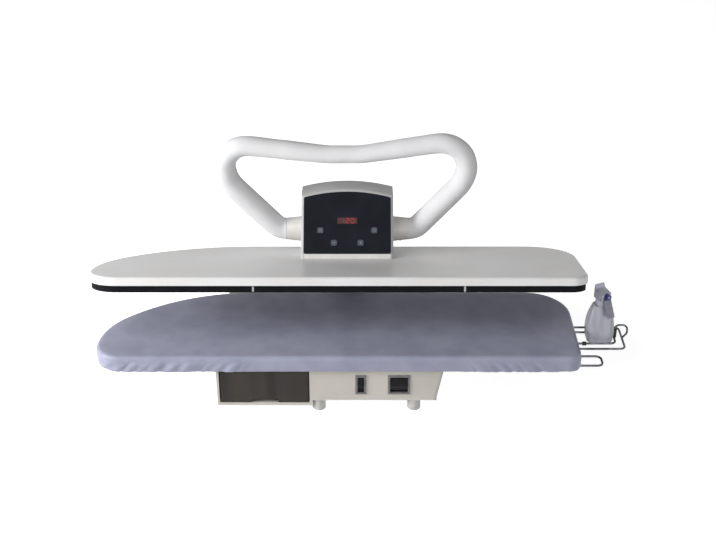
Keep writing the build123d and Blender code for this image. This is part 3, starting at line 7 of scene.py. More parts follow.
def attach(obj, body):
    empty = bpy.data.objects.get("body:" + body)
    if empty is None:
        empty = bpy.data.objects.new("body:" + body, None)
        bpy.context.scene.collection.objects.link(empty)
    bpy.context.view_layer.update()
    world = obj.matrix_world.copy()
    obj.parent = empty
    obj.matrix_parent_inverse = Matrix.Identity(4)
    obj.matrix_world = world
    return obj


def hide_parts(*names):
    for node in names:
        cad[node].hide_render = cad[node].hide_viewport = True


# Table-top steam ironing press with its sprung head open. Pieces are drawn in millimetres, and their place
# matrix takes them to the CAD's frame, in metres. The lamps and the camera are placed in metres.
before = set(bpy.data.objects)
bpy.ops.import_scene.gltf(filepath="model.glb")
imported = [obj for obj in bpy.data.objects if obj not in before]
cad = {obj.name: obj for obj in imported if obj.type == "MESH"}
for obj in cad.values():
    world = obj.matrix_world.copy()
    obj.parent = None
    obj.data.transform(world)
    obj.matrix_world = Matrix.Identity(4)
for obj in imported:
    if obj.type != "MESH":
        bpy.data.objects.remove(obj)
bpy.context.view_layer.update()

mm = 0.001

# The press is drawn with its head shut, from the board's front edge; these take it to the CAD's frame
drawing_shift = Vector((-52.25, -276.5, 0))
hinge_point = Vector((0, 517, 54))
open_angle = 15
base_place = Matrix.Scale(mm, 4) @ Matrix.Translation(drawing_shift)
head_place = (base_place @ Matrix.Translation(hinge_point) @ Matrix.Rotation(radians(-open_angle), 4, "X")
              @ Matrix.Translation(-hinge_point))

# Ironing surface seen from above
nose_end = -518
heel_end = 509.5
board_depth = 282
nose_corner_radius = 58
nose_radius = 158
taper_radius = 397
heel_front_radius = 30
heel_back_radius = 94
board_top = 144
skirt_bottom = 107
# How far in from its two ends the outline still turns
nose_reach = 150
heel_reach = 120

# Console and handle
console_x = 15
console_tilt = 25
head_top = 179.5
panel_foot = 12
console_front_y = 157
panel_face = 1.4
handle_y = 245
handle_height = 50
handle_lean = 20


def frame_of(origin, across, up):
    """Matrix of a drawing plane from its origin and its two directions."""
    x = Vector(across).normalized()
    y = Vector(up).normalized()
    z = x.cross(y)
    turn = Matrix((x, y, z)).transposed().to_4x4()
    return Matrix.Translation(Vector(origin)) @ turn


tilt = radians(console_tilt)
panel_place = head_place @ frame_of(
    (console_x, console_front_y + panel_foot * sin(tilt), head_top + panel_foot * cos(tilt)),
    (1, 0, 0), (0, sin(tilt), cos(tilt)))
lean = radians(handle_lean)
handle_place = head_place @ frame_of((console_x, handle_y, head_top + handle_height),
                                     (1, 0, 0), (0, -sin(lean), cos(lean)))


# Materials


def linear(code):
    """Linear colour of an sRGB hex code."""
    shares = [int(code[place:place + 2], 16) / 255 for place in (1, 3, 5)]
    return (*[s / 12.92 if s <= 0.04045 else ((s + 0.055) / 1.055) ** 2.4 for s in shares], 1)


def add_node(tree, kind, links=(), settings=(), values=()):
    """One node with its settings, its sockets' values and what feeds it."""
    made = tree.nodes.new(kind)
    for name, value in dict(settings).items():
        setattr(made, name, value)
    for socket, value in dict(values).items():
        made.inputs[socket].default_value = value
    for socket, source in dict(links).items():
        tree.links.new(source, made.inputs[socket])
    return made


class Finish:
    """A surface under work: its material, its shader and the object's own coordinates."""

    def __init__(self, name, colour, roughness, **sockets):
        self.material = bpy.data.materials.new(name)
        self.material.use_nodes = True
        self.tree = self.material.node_tree
        self.tree.nodes.clear()
        self.shader = add_node(self.tree, "ShaderNodeBsdfPrincipled",
                               values={"Base Color": linear(colour), "Roughness": roughness, **sockets})
        add_node(self.tree, "ShaderNodeOutputMaterial", {"Surface": self.shader.outputs["BSDF"]})
        self.place = add_node(self.tree, "ShaderNodeTexCoord").outputs["Object"]
        self.normal = None

    def add(self, kind, links=(), settings=(), values=()):
        """One node in this finish's tree."""
        return add_node(self.tree, kind, links, settings, values)

    def feed(self, socket, source):
        """Links a source to one of the shader's sockets."""
        self.tree.links.new(source, self.shader.inputs[socket])

    def clouds(self, size, detail=2, stretch=(1, 1, 1)):
        """Soft random pattern whose features are size millimetres across."""
        placed = self.add("ShaderNodeMapping", {"Vector": self.place}, values={"Scale": stretch})
        return self.add("ShaderNodeTexNoise", {"Vector": placed.outputs["Vector"]},
                        values={"Scale": 1 / (size * mm), "Detail": detail}).outputs["Fac"]

    def tint(self, pattern, low, high, start=0.35, end=0.65):
        """Base colour that runs from low to high with a pattern."""
        ramp = self.add("ShaderNodeValToRGB", {"Fac": pattern})
        ramp.color_ramp.elements[0].position = start
        ramp.color_ramp.elements[1].position = end
        ramp.color_ramp.elements[0].color = linear(low)
        ramp.color_ramp.elements[1].color = linear(high)
        self.feed("Base Color", ramp.outputs["Color"])

    def dull(self, pattern, low, high):
        """Roughness that runs from low to high with a pattern."""
        made = self.add("ShaderNodeMapRange", {"Value": pattern},
                        values={"To Min": low, "To Max": high, "From Min": 0.3, "From Max": 0.7})
        self.feed("Roughness", made.outputs["Result"])

    def relief(self, pattern, depth, strength=1):
        """Bump of a pattern, depth millimetres from its lowest to its highest."""
        links = {"Height": pattern}
        if self.normal is not None:
            links["Normal"] = self.normal
        made = self.add("ShaderNodeBump", links, values={"Distance": depth * mm, "Strength": strength})
        self.normal = made.outputs["Normal"]
        self.feed("Normal", self.normal)


def moulded(name, low, high, roughness, grain=1.2, depth=0.05, blotch=60, **sockets):
    """Injection-moulded plastic: a spark-eroded grain, faint colour drift and hand-worn sheen."""
    finish = Finish(name, low, roughness, **sockets)
    finish.tint(finish.clouds(blotch), low, high)
    finish.dull(finish.clouds(blotch / 3, 4), roughness - 0.06, roughness + 0.06)
    finish.relief(finish.clouds(grain, 2), depth)
    return finish


# Head cover: pressed and enamelled top shell, satin, with the faint orange peel of stoved paint, in waves
# about 3 mm long
enamel = Finish("stoved_enamel_pearl", "#cecdcd", 0.38, **{"Coat Weight": 0.15, "Coat Roughness": 0.25})
enamel.tint(enamel.clouds(160, 3), "#cccac8", "#d1d1d2")
enamel.dull(enamel.clouds(40, 4), 0.34, 0.44)
enamel.relief(enamel.clouds(3, 1), 0.03)

# Console shell: moulded ABS with a fine grain of about 1 mm, a grey that is darker than the head, and the
# strip of the same plastic under the panel, painted paler: a painted reflection of the light off the head
# cover
console_abs = moulded("moulded_abs_mid_grey_shell", "#a3a3a4", "#abaaab", 0.42)
strip_abs_painted_reflection = moulded("moulded_abs_strip_painted_reflection", "#c9c7c4", "#d0cecb", 0.42, blotch=20)

# Base housing, tank bay and rear covers: moulded ABS in greige, a grain of about 1.5 mm
base_abs = moulded("moulded_abs_greige", "#b0aba4", "#b8b3ac", 0.5, grain=1.5, blotch=90)

# Handle sockets: the same plastic in a paler moulding, polished by hands
socket_abs = moulded("moulded_abs_socket_grey", "#c8c5c1", "#d2d0cc", 0.4, blotch=30)

# Control panel: back-printed acrylic, near black, a mirror gloss with the faintest dust of handling
acrylic = Finish("gloss_black_acrylic", "#12151c", 0.08, **{"Specular IOR Level": 0.12})
acrylic.tint(acrylic.clouds(45, 3), "#10131a", "#161922")
acrylic.dull(acrylic.clouds(14, 5), 0.06, 0.16)

# Prints on the button caps, which are the panel's own gloss black: a satin slate pad with a paler mark
button_print = moulded("silk_screen_slate", "#2a3038", "#343b46", 0.5, grain=0.6, depth=0.02, blotch=12)
mark_print = moulded("silk_screen_pale_grey", "#6d757f", "#7a818a", 0.5, grain=0.6, depth=0.02, blotch=8)

# Display: smoked red acrylic, a dark glossy pane, and lit bars that glow a little brighter than it
red_window = Finish("smoked_red_acrylic", "#571016", 0.08,
                    **{"Transmission Weight": 0.55, "IOR": 1.49, "Coat Weight": 0.2})
red_window.tint(red_window.clouds(9, 2), "#4b0c12", "#64141a")
red_window.dull(red_window.clouds(6, 3), 0.06, 0.14)
lit_bar = Finish("lit_display_bar", "#8c1c24", 0.4, **{"Emission Color": linear("#c02a2e"),
                                                        "Emission Strength": 0.22})
lit_bar.tint(lit_bar.clouds(4), "#7c1820", "#982028")

# Grip: closed-cell foam sleeve, white, pores of about half a millimetre drawn at 1.4 mm so that they show
foam = Finish("closed_cell_foam_white", "#d3d3d5", 0.82,
              **{"Sheen Weight": 0.25, "Sheen Roughness": 0.5, "Specular IOR Level": 0.3})
foam.tint(foam.clouds(70, 3), "#cfcfd1", "#d7d7d8")
foam_pores = foam.add("ShaderNodeTexVoronoi", {"Vector": foam.place}, values={"Scale": 1 / (1.4 * mm)})
foam.relief(foam_pores.outputs["Distance"], 0.12, 0.6)
foam.relief(foam.clouds(22, 2), 0.5, 0.5)

# Edge band: black heat-proof rubber strip, matt, with a grain of about 2 mm
band_rubber = moulded("extruded_rubber_black", "#08090b", "#0f1013", 0.66, grain=2, depth=0.06, blotch=40,
                      **{"Specular IOR Level": 0.06})

# Band clips: pale undyed nylon, satin
clip_plastic = moulded("moulded_nylon_pale", "#8f8e92", "#a3a2a5", 0.5, blotch=6)

# Sole plate and steam manifold: cast aluminium, belt-ground flat and hard anodised, grey with fine lines
sole_metal = Finish("hard_anodised_cast_aluminium", "#6a6b6e", 0.36, Metallic=1)
sole_metal.tint(sole_metal.clouds(50, 3), "#636467", "#737477")
sole_lines = sole_metal.clouds(1.2, 3, (0.04, 1, 1))
sole_metal.dull(sole_lines, 0.32, 0.48)
sole_metal.relief(sole_lines, 0.02)

# Brackets, rails, pan and screws: zinc-plated steel, its crystals a few millimetres across
zinc = Finish("zinc_plated_steel", "#a9abae", 0.42, Metallic=1)
zinc_crystals = zinc.add("ShaderNodeTexVoronoi", {"Vector": zinc.place}, values={"Scale": 1 / (6 * mm)})
zinc.tint(zinc_crystals.outputs["Color"], "#97999c", "#b4b6b9", 0.2, 0.8)
zinc.dull(zinc.clouds(9, 4), 0.34, 0.5)

# Springs, element and small screws: oiled spring steel, darker than zinc, with an uneven film of oil
spring_steel = Finish("oiled_spring_steel", "#6a6b6e", 0.36, Metallic=1)
spring_steel.tint(spring_steel.clouds(8, 3), "#5b5c5f", "#77787b")
spring_steel.dull(spring_steel.clouds(3, 4), 0.28, 0.46)

# Rack: chrome plating over wire, with the slight waviness of drawn wire and grey water spots, and darker
# than new chrome, so that it stands out from the studio's white
chrome = Finish("chrome_plated_wire", "#55565a", 0.22, Metallic=1)
chrome.tint(chrome.clouds(14, 4), "#46474b", "#66676b")
chrome.dull(chrome.clouds(5, 4), 0.16, 0.3)
chrome.relief(chrome.clouds(9, 1), 0.04)

# Tank: smoked SAN plastic, so dark a brown that it is hardly see-through, with upright flow lines from the
# mould and scuffs
smoked = Finish("smoked_san_plastic", "#3a3430", 0.14,
                **{"Transmission Weight": 0.35, "IOR": 1.45, "Specular IOR Level": 0.12})
flow_lines = smoked.clouds(26, 2, (1, 1, 0.06))
smoked.tint(flow_lines, "#292522", "#443c35", 0.3, 0.7)
smoked.dull(smoked.clouds(14, 3), 0.12, 0.24)
smoked.relief(flow_lines, 0.1, 0.3)

# Scale filter in the tank: a cartridge of red-brown resin beads, 2 mm across
resin_beads = Finish("ion_resin_beads", "#7a3a2a", 0.5)
bead_cells_and_rim_shade = resin_beads.add("ShaderNodeTexVoronoi", {"Vector": resin_beads.place},
                              values={"Scale": 1 / (2 * mm)})
# The tint grows darker away from each bead's middle, towards its rim and into the gaps between beads:
# painted shade
resin_beads.tint(bead_cells_and_rim_shade.outputs["Distance"], "#8a4634", "#5c2a20", 0.1, 0.9)
resin_beads.relief(bead_cells_and_rim_shade.outputs["Distance"], 0.5)

# Float: white polypropylene, matt from its fine closed cells
float_plastic = moulded("foamed_polypropylene_white", "#ecebe8", "#f6f5f3", 0.55, grain=0.8, blotch=8)

# Valve, seat and pump: black and dark grey nylon, satin from the mould
black_nylon = moulded("moulded_nylon_black", "#151517", "#202023", 0.5, blotch=14)
pump_plastic = moulded("moulded_nylon_dark_grey", "#3c3d41", "#4a4b50", 0.5, blotch=20)

# Switches: dark grey bezels with a fine grain, black rockers that fingers have polished, and a lens whose
# red looks nearly black while it is unlit
bezel_plastic = moulded("moulded_abs_dark_grey", "#5b5958", "#686665", 0.45, grain=0.9, blotch=14)
switch_gloss = Finish("gloss_black_switch_plastic", "#100f13", 0.25, **{"Specular IOR Level": 0.1})
switch_gloss.tint(switch_gloss.clouds(12), "#0c0b0f", "#17161b")
switch_gloss.dull(switch_gloss.clouds(5, 4), 0.16, 0.32)
switch_lens = Finish("unlit_red_switch_lens", "#240b0e", 0.3, **{"Specular IOR Level": 0.08})
switch_lens.tint(switch_lens.clouds(6), "#16080a", "#220c0e")

# Mains inlet and thermal cut-out: black phenolic, matt, with brass pins whose nickel has worn yellow
inlet_plastic = moulded("moulded_phenolic_black", "#161617", "#212123", 0.55, blotch=12)
brass = Finish("nickel_plated_brass_pins", "#b9a06a", 0.3, Metallic=1)
brass.tint(brass.clouds(3, 3), "#a98f5a", "#c8b27c")

# Hinge bushes: sintered bronze, its grains of 0.1 mm drawn at 1.2 mm so that they show
bronze = Finish("sintered_bronze", "#7d5a2e", 0.55, Metallic=1)
bronze.tint(bronze.clouds(1.2, 3), "#6a4a24", "#8f6a3a")

# Feet and rack sleeves: moulded rubber, matt, grey and black
foot_rubber = moulded("moulded_rubber_grey", "#a8a6a2", "#b4b2ae", 0.75, grain=1.4, depth=0.08, blotch=16)
sleeve_rubber = moulded("moulded_rubber_black", "#141415", "#1f1f21", 0.7, grain=1, blotch=10)

# Circuit boards: glass epoxy under green solder mask, cloudy where the weave shows through
laminate = Finish("glass_epoxy_board_green", "#1c4a2c", 0.35)
laminate.tint(laminate.clouds(4, 3), "#173f25", "#235634")

# Hoses: milky silicone, slightly see-through
silicone = Finish("silicone_hose_milky", "#d6d6cf", 0.4, **{"Transmission Weight": 0.3, "IOR": 1.41})
silicone.tint(silicone.clouds(12, 3), "#cbcbc3", "#e0e0da")

# Bottle: blown polyethylene, translucent lilac grey, with the soft waviness of a blown wall. Its spray
# head, trigger and nozzle cap are satin polypropylene in lilac, slate and navy.
bottle_pe = Finish("blown_polyethylene_lilac", "#a0a1ab", 0.34,
                   **{"Transmission Weight": 0.12, "IOR": 1.5, "Specular IOR Level": 0.5})
bottle_pe.tint(bottle_pe.clouds(30, 2, (1, 1, 0.3)), "#a3a4af", "#c0c1c9")
bottle_pe.dull(bottle_pe.clouds(9, 3), 0.28, 0.42)
bottle_pe.relief(bottle_pe.clouds(18, 1), 0.2, 0.3)
spray_plastic = moulded("moulded_polypropylene_lilac", "#b4b6c4", "#c2c4d0", 0.34, grain=0.8, blotch=10)
trigger_plastic = moulded("moulded_polypropylene_slate", "#80808f", "#8d8d9b", 0.34, grain=0.8, blotch=10)
nozzle_blue = moulded("moulded_polypropylene_navy", "#20276a", "#2c3480", 0.36, grain=0.8, blotch=6)

# Board cover: tightly woven cotton with a metallised coating, slate blue-grey with a soft sheen. The real
# thread is 0.4 mm; the weave is drawn at 1.6 mm so that it shows. A wave texture whose scale is 1 has waves
# about 0.31 long, so its scale is that length over the thread's.
thread = 1.6
wave_length = 0.31
cover_cloth = Finish("coated_cotton_slate", "#8d8fa0", 0.5,
                     **{"Sheen Weight": 0.2, "Sheen Roughness": 0.35, "Specular IOR Level": 0.25,
                        "Coat Weight": 0.15, "Coat Roughness": 0.34})
cloth_flat = cover_cloth.add("ShaderNodeUVMap", settings={"uv_map": "flat_cut"}).outputs["UV"]
warp, weft = [cover_cloth.add("ShaderNodeTexWave", {"Vector": cloth_flat},
                              {"wave_type": "BANDS", "bands_direction": direction},
                              {"Scale": 1 / (thread * mm) * wave_length, "Distortion": 0.6, "Detail": 1})
              for direction in "XY"]
weave = cover_cloth.add("ShaderNodeMath", {0: warp.outputs["Fac"], 1: weft.outputs["Fac"]},
                        {"operation": "MAXIMUM"})
cover_cloth.tint(cover_cloth.clouds(55, 4), "#85879a", "#9193a5")
cover_cloth.dull(cover_cloth.clouds(25, 3), 0.44, 0.58)
cover_cloth.relief(weave.outputs["Value"], 0.1, 0.5)
cover_cloth.relief(cover_cloth.clouds(38, 2), 0.8, 0.35)

# Pad under the cover and elastic in its hem: needled felt and knitted elastic, both hidden by the cover
felt = Finish("needled_felt", "#d8d3c2", 0.9, **{"Sheen Weight": 0.3})
felt.tint(felt.clouds(5, 5), "#cdc8b6", "#e2ddcd")
felt.relief(felt.clouds(2, 4), 0.4)
knit = Finish("knitted_elastic", "#d9d9d9", 0.85)
knit_ribs = knit.clouds(1.5, 1, (1, 1, 0.2))
knit.tint(knit_ribs, "#c9c9c9", "#e6e6e6")
knit.relief(knit_ribs, 0.2)

finishes = {
    enamel: ["head_cover"],
    console_abs: ["control_housing"],
    base_abs: ["base_housing", "rear_panel", "tank_bay", "arm_cover"],
    socket_abs: ["handle_sockets"],
    acrylic: ["control_panel", "button_steam", "button_minus", "button_plus", "button_power"],
    red_window: ["display_window"],
    band_rubber: ["edge_band"],
    clip_plastic: ["band_clips"],
    sole_metal: ["heating_plate", "steam_manifold"],
    zinc: ["board_pan", "pan_supports", "base_plate", "chassis_rails", "hinge_brackets", "hinge_shaft",
           "shaft_clips", "lift_arm", "head_spine", "arm_bolts", "handle_core", "rack_straps",
           "foot_screws"],
    spring_steel: ["lift_springs", "heating_element", "handle_screws"],
    chrome: ["rack_frame"],
    smoked: ["water_tank"],
    float_plastic: ["tank_float"],
    black_nylon: ["tank_valve", "valve_seat"],
    pump_plastic: ["water_pump"],
    silicone: ["water_lines", "steam_hose"],
    laminate: ["control_board", "relay_board"],
    bezel_plastic: ["mains_bezel", "steam_bezel"],
    switch_gloss: ["mains_rocker", "steam_rocker"],
    inlet_plastic: ["mains_inlet", "thermal_cutout"],
    brass: ["inlet_pins"],
    bronze: ["hinge_bushes"],
    foot_rubber: ["feet"],
    sleeve_rubber: ["rack_sleeves"],
    bottle_pe: ["bottle_body"],
    spray_plastic: ["bottle_head"],
    trigger_plastic: ["bottle_trigger"],
    foam: ["handle_grip"],
    cover_cloth: ["board_cover"],
    felt: ["board_pad"],
    knit: ["cover_elastic"],
}
for finish, names in finishes.items():
    for name in names:
        cad[name].data.materials.clear()
        cad[name].data.materials.append(finish.material)


# Pieces made here


def rounded(bm, edges, offset, segments):
    """Rounds edges with an even bevel."""
    bmesh.ops.bevel(bm, geom=edges, offset=offset, segments=segments, profile=0.5, affect="EDGES",
                    material=-1)


def keep(bm, name, place, finish, body, smooth=True):
    """Turns a worked mesh into a piece, faces outwards, at its place, on its body, with its finish."""
    bmesh.ops.recalc_face_normals(bm, faces=bm.faces[:])
    mesh = bpy.data.meshes.new(name)
    bm.to_mesh(mesh)
    bm.free()
    mesh.transform(place)
    for face in mesh.polygons:
        face.use_smooth = smooth
    piece = bpy.data.objects.new(name, mesh)
    bpy.context.scene.collection.objects.link(piece)
    mesh.materials.append(finish.material)
    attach(piece, body)
    return piece


def outline_ring(bm, grow, z, step):
    """Closed ring of edges along the board's outline, grown outwards, its points about a step apart."""
    past_nose = taper_radius - (board_depth - nose_corner_radius)
    turn = asin(past_nose / (taper_radius - nose_radius))
    taper_x = nose_end + nose_radius + (taper_radius - nose_radius) * cos(turn)
    heel_y = board_depth - heel_back_radius
    arcs = [
        ((nose_end + nose_corner_radius, nose_corner_radius), nose_corner_radius, pi, pi / 2),
        ((heel_end - heel_front_radius, heel_front_radius), heel_front_radius, 1.5 * pi, pi / 2),
        ((heel_end - heel_back_radius, heel_y), heel_back_radius, 0, pi / 2),
        ((taper_x, board_depth - taper_radius), taper_radius, pi / 2, pi / 2 - turn),
        ((nose_end + nose_radius, nose_corner_radius), nose_radius, pi - turn, turn),
    ]
    tip = None
    for centre, radius, start, sweep in arcs:
        reach = radius + grow
        spot = Vector((centre[0] + reach * cos(start), centre[1] + reach * sin(start), z))
        if tip is None:
            tip = bm.verts.new(spot)
        elif (spot - tip.co).length > step / 10:
            count = max(1, round((spot - tip.co).length / step))
            stride = (spot - tip.co) / count
            for _ in range(count):
                tip = bmesh.ops.extrude_vert_indiv(bm, verts=[tip])["verts"][0]
                tip.co += stride
        spun = bmesh.ops.spin(bm, geom=[tip], cent=(*centre, z), axis=(0, 0, 1), angle=sweep,
                              steps=max(4, round(reach * sweep / step)), use_duplicate=False)
        tip = [v for v in spun["geom_last"] if isinstance(v, bmesh.types.BMVert)][0]
    bmesh.ops.remove_doubles(bm, verts=bm.verts[:], dist=step / 10)
    return bm.edges[:]


def grown_rings(bm, edges, steps, centre_y):
    """Extrudes a ring of edges through (inset, height) steps, each moved along the outline's normal."""
    outward = {}
    for edge in edges:
        for vertex in edge.verts:
            if vertex not in outward:
                ends = [e.other_vert(vertex).co for e in vertex.link_edges]
                along = (ends[0] - ends[1]).normalized()
                side = Vector((along.y, -along.x, 0))
                inside_x = max(nose_end + nose_reach, min(heel_end - heel_reach, vertex.co.x))
                middle = Vector((inside_x, centre_y, 0))
                if side.dot(Vector((vertex.co.x, vertex.co.y, 0)) - middle) < 0:
                    side = -side
                outward[vertex] = side
    made = [dict(outward)]
    ring = edges
    for step_in, height in steps:
        grown = bmesh.ops.extrude_edge_only(bm, edges=ring)["geom"]
        new_vertices = [g for g in grown if isinstance(g, bmesh.types.BMVert)]
        ring = [g for g in grown if isinstance(g, bmesh.types.BMEdge)
                and g.verts[0] in new_vertices and g.verts[1] in new_vertices]
        moved = {}
        for vertex in new_vertices:
            source = next(e.other_vert(vertex) for e in vertex.link_edges
                          if e.other_vert(vertex) in outward)
            side = outward[source]
            vertex.co.x = source.co.x - side.x * step_in
            vertex.co.y = source.co.y - side.y * step_in
            vertex.co.z = height
            moved[vertex] = side
        outward = moved
        made.append(moved)
    return ring, made


def smoothstep(low, high, value):
    """Soft step from 0 to 1 between two values."""
    t = max(0, min(1, (value - low) / (high - low)))
    return t * t * (3 - 2 * t)


# Board cover: one cloth over the board, drawn in under the pan, smooth on top and gathered on its skirt
cloth_thickness = 1
cloth_in = 0.2
cloth_step = 4
roll_radius = 10
roll_steps = 7
skirt_steps = 10
skirt_step_in = 0.1
hem_rise = 1.5
# Steps of the hem: how far in each goes, and how far over the skirt's bottom it lies
hem_steps = ((0.8, 0.5), (2, 0.1), (7, 0.3), (1, 1.4))
top_cell = 16
cover_bm = bmesh.new()
first_ring = outline_ring(cover_bm, -cloth_in, board_top - roll_radius, cloth_step)
rolled = []
for turn in range(1, roll_steps + 1):
    angle = pi / 2 * turn / roll_steps
    before = pi / 2 * (turn - 1) / roll_steps
    rolled.append((roll_radius * (cos(before) - cos(angle)), board_top - roll_radius * (1 - sin(angle))))
top_ring, top_sets = grown_rings(cover_bm, first_ring, rolled, board_depth / 2)
# Skirt, down from the first ring and in under the pan
skirt_top = board_top - roll_radius
skirt_fall = skirt_top - skirt_bottom - hem_rise
first_loop = [e for e in cover_bm.edges if e.is_boundary and e not in top_ring]
skirt = [(skirt_step_in, skirt_top - skirt_fall * (n + 1) / skirt_steps) for n in range(skirt_steps)]
hem = [(step_in, skirt_bottom + rise) for step_in, rise in hem_steps]
skirt_sets = grown_rings(cover_bm, first_loop, skirt + hem, board_depth / 2)[1]
outward_of = {}
for ring_set in top_sets + skirt_sets:
    outward_of.update(ring_set)
# The flat top is one face, cut into even cells so that it can crown
bmesh.ops.contextual_create(cover_bm, geom=top_ring)
for axis, low, high in ((0, nose_end, heel_end), (1, 0, board_depth)):
    for cut in range(1, int((high - low) / top_cell)):
        flat = [f for f in cover_bm.faces if all(abs(v.co.z - board_top) < 0.01 for v in f.verts)]
        geom = list({g for f in flat for g in (f, *f.edges, *f.verts)})
        spot = [0, 0, board_top]
        spot[axis] = low + cut * top_cell
        across = [0, 0, 0]
        across[axis] = 1
        bmesh.ops.bisect_plane(cover_bm, geom=geom, dist=0.02, plane_co=spot, plane_no=across)
# Flat-cut coordinates: how far each point lies over the edge, added outwards
flat_cut = cover_bm.loops.layers.uv.new("flat_cut")
for face in cover_bm.faces:
    for loop in face.loops:
        spot = loop.vert.co
        side = outward_of.get(loop.vert, Vector((0, 0, 0)))
        drop = max(0, board_top - spot.z)
        loop[flat_cut].uv = ((spot.x + side.x * drop) * mm, (spot.y + side.y * drop) * mm)
# Gathers, in millimetres: how far the skirt stands out on average, how far folds and creases move it, how
# wide they are, and how far it may go in before it meets the pan
mean_push = 1.5
fold_push = 4.2
crease_push = 1.6
fold_lift = 0.6
fold_width = 16
fold_run = 60
crease_width = 7
crease_run = 30
crease_drop = 40
most_in = 0.6
straight_share = 0.15
fold_slant = 0.9
# Where the gathers begin and where they are full, to the left, to the right and behind, and down the skirt
left_zone = (-150, -260)
right_zone = (230, 300)
rear_zone = (60, 150)
drop_zone = (10, 24)
for vertex, side in outward_of.items():
    spot = vertex.co
    drop = board_top - spot.z
    # The cover is pulled straight along the front; it gathers where the outline curves
    left_gathers = smoothstep(*left_zone, spot.x)
    right_gathers = smoothstep(*right_zone, spot.x)
    behind = smoothstep(*rear_zone, spot.y)
    amount = straight_share + (1 - straight_share) * max(left_gathers, right_gathers, behind)
    # Folds fan out from the ends of the front, so they lean towards the middle on their way down
    slant = (fold_slant if spot.x < 0 else -fold_slant) * drop
    along = spot.x + slant if spot.y < rear_zone[0] else spot.x + spot.y
    # The 3.7 and the 8 only pick one of the noise's patterns
    fold = noise.noise(Vector((along / fold_width, spot.y / fold_run, 3.7)))
    crease = noise.noise(Vector((along / crease_width, spot.y / crease_run, drop / crease_drop + 8)))
    depth = smoothstep(*drop_zone, drop)
    push = max(-most_in, amount * depth * (mean_push + fold_push * fold + crease_push * crease))
    spot += side * push
    spot.z += amount * depth * fold_lift * fold
# The pad under it makes the top a little uneven, in slow and shallow waves
crown_start = 4
crown_sink = 0.5
crown_wave = 0.45
crown_long = 130
crown_wide = 90
for vertex in cover_bm.verts:
    share = smoothstep(board_top - crown_start, board_top, vertex.co.z)
    soft = noise.noise(Vector((vertex.co.x / crown_long, vertex.co.y / crown_wide, 1.3)))
    vertex.co.z += share * (crown_wave * soft - crown_sink)
board_cloth = keep(cover_bm, "board_cloth", base_place, cover_cloth, "base")
shell = board_cloth.modifiers.new("cloth_thickness", "SOLIDIFY")
shell.thickness = cloth_thickness * mm
shell.offset = -1
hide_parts("board_cover")

# Felt pad between the pan and the cloth
pad_low = 133.2
pad_high = 142
pad_in = 2.6
pad_step = 12
pad_rim = 5
pad_bm = bmesh.new()
pad_ring = outline_ring(pad_bm, -pad_in, pad_low, pad_step)
pad_floor = bmesh.ops.contextual_create(pad_bm, geom=pad_ring)["faces"]
pad_rise = bmesh.ops.extrude_face_region(pad_bm, geom=pad_floor)["geom"]
raised = [g for g in pad_rise if isinstance(g, bmesh.types.BMVert)]
bmesh.ops.translate(pad_bm, vec=(0, 0, pad_high - pad_low), verts=raised)
bmesh.ops.recalc_face_normals(pad_bm, faces=pad_bm.faces[:])
pad_rims = [e for e in pad_bm.edges
            if all(v.co.z > pad_high - 0.1 for v in e.verts) and len(e.link_faces) == 2]
rounded(pad_bm, pad_rims, pad_rim, 3)
board_felt = keep(pad_bm, "board_felt", base_place, felt, "base")
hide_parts("board_pad")

# Elastic in the hem, a flat knitted band
elastic_in = 6.6
elastic_width = 3
elastic_low = 109.4
elastic_high = 111.4
elastic_step = 10
elastic_bm = bmesh.new()
elastic_ring = outline_ring(elastic_bm, -elastic_in, elastic_low, elastic_step)
elastic_steps = [(elastic_width, elastic_low), (0, elastic_high), (-elastic_width, elastic_high)]
grown_rings(elastic_bm, elastic_ring, elastic_steps, board_depth / 2)
bmesh.ops.bridge_loops(elastic_bm, edges=[e for e in elastic_bm.edges if e.is_boundary])
hem_elastic = keep(elastic_bm, "hem_elastic", base_place, knit, "base")
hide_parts("cover_elastic")

# Handle grip: a foam sleeve that follows the steel tube from socket to socket. Each corner has its place on
# the handle's plane and the radius of its bend.
grip_start = 134
grip_corners = [(-151, 0, 33.9), (-266, 127, 78), (-266, 215, 49.5), (-44, 187.5, 200),
                (31, 187.5, 200), (258.5, 225.5, 57), (258.5, 127, 78), (151, 0, 32.4)]
# The sleeve is thickest down the sides and thinnest in the dip of its middle: one radius at each end of
# every bend
grip_radii = (24.3, 24.8, 25.5, 26.3, 26.5, 26, 22.8, 19.9, 19.6,
              19.5, 19.8, 22.6, 24.6, 25, 25, 25.2, 24.8, 24.3)
grip_softening = 6
grip_swell = 0.012


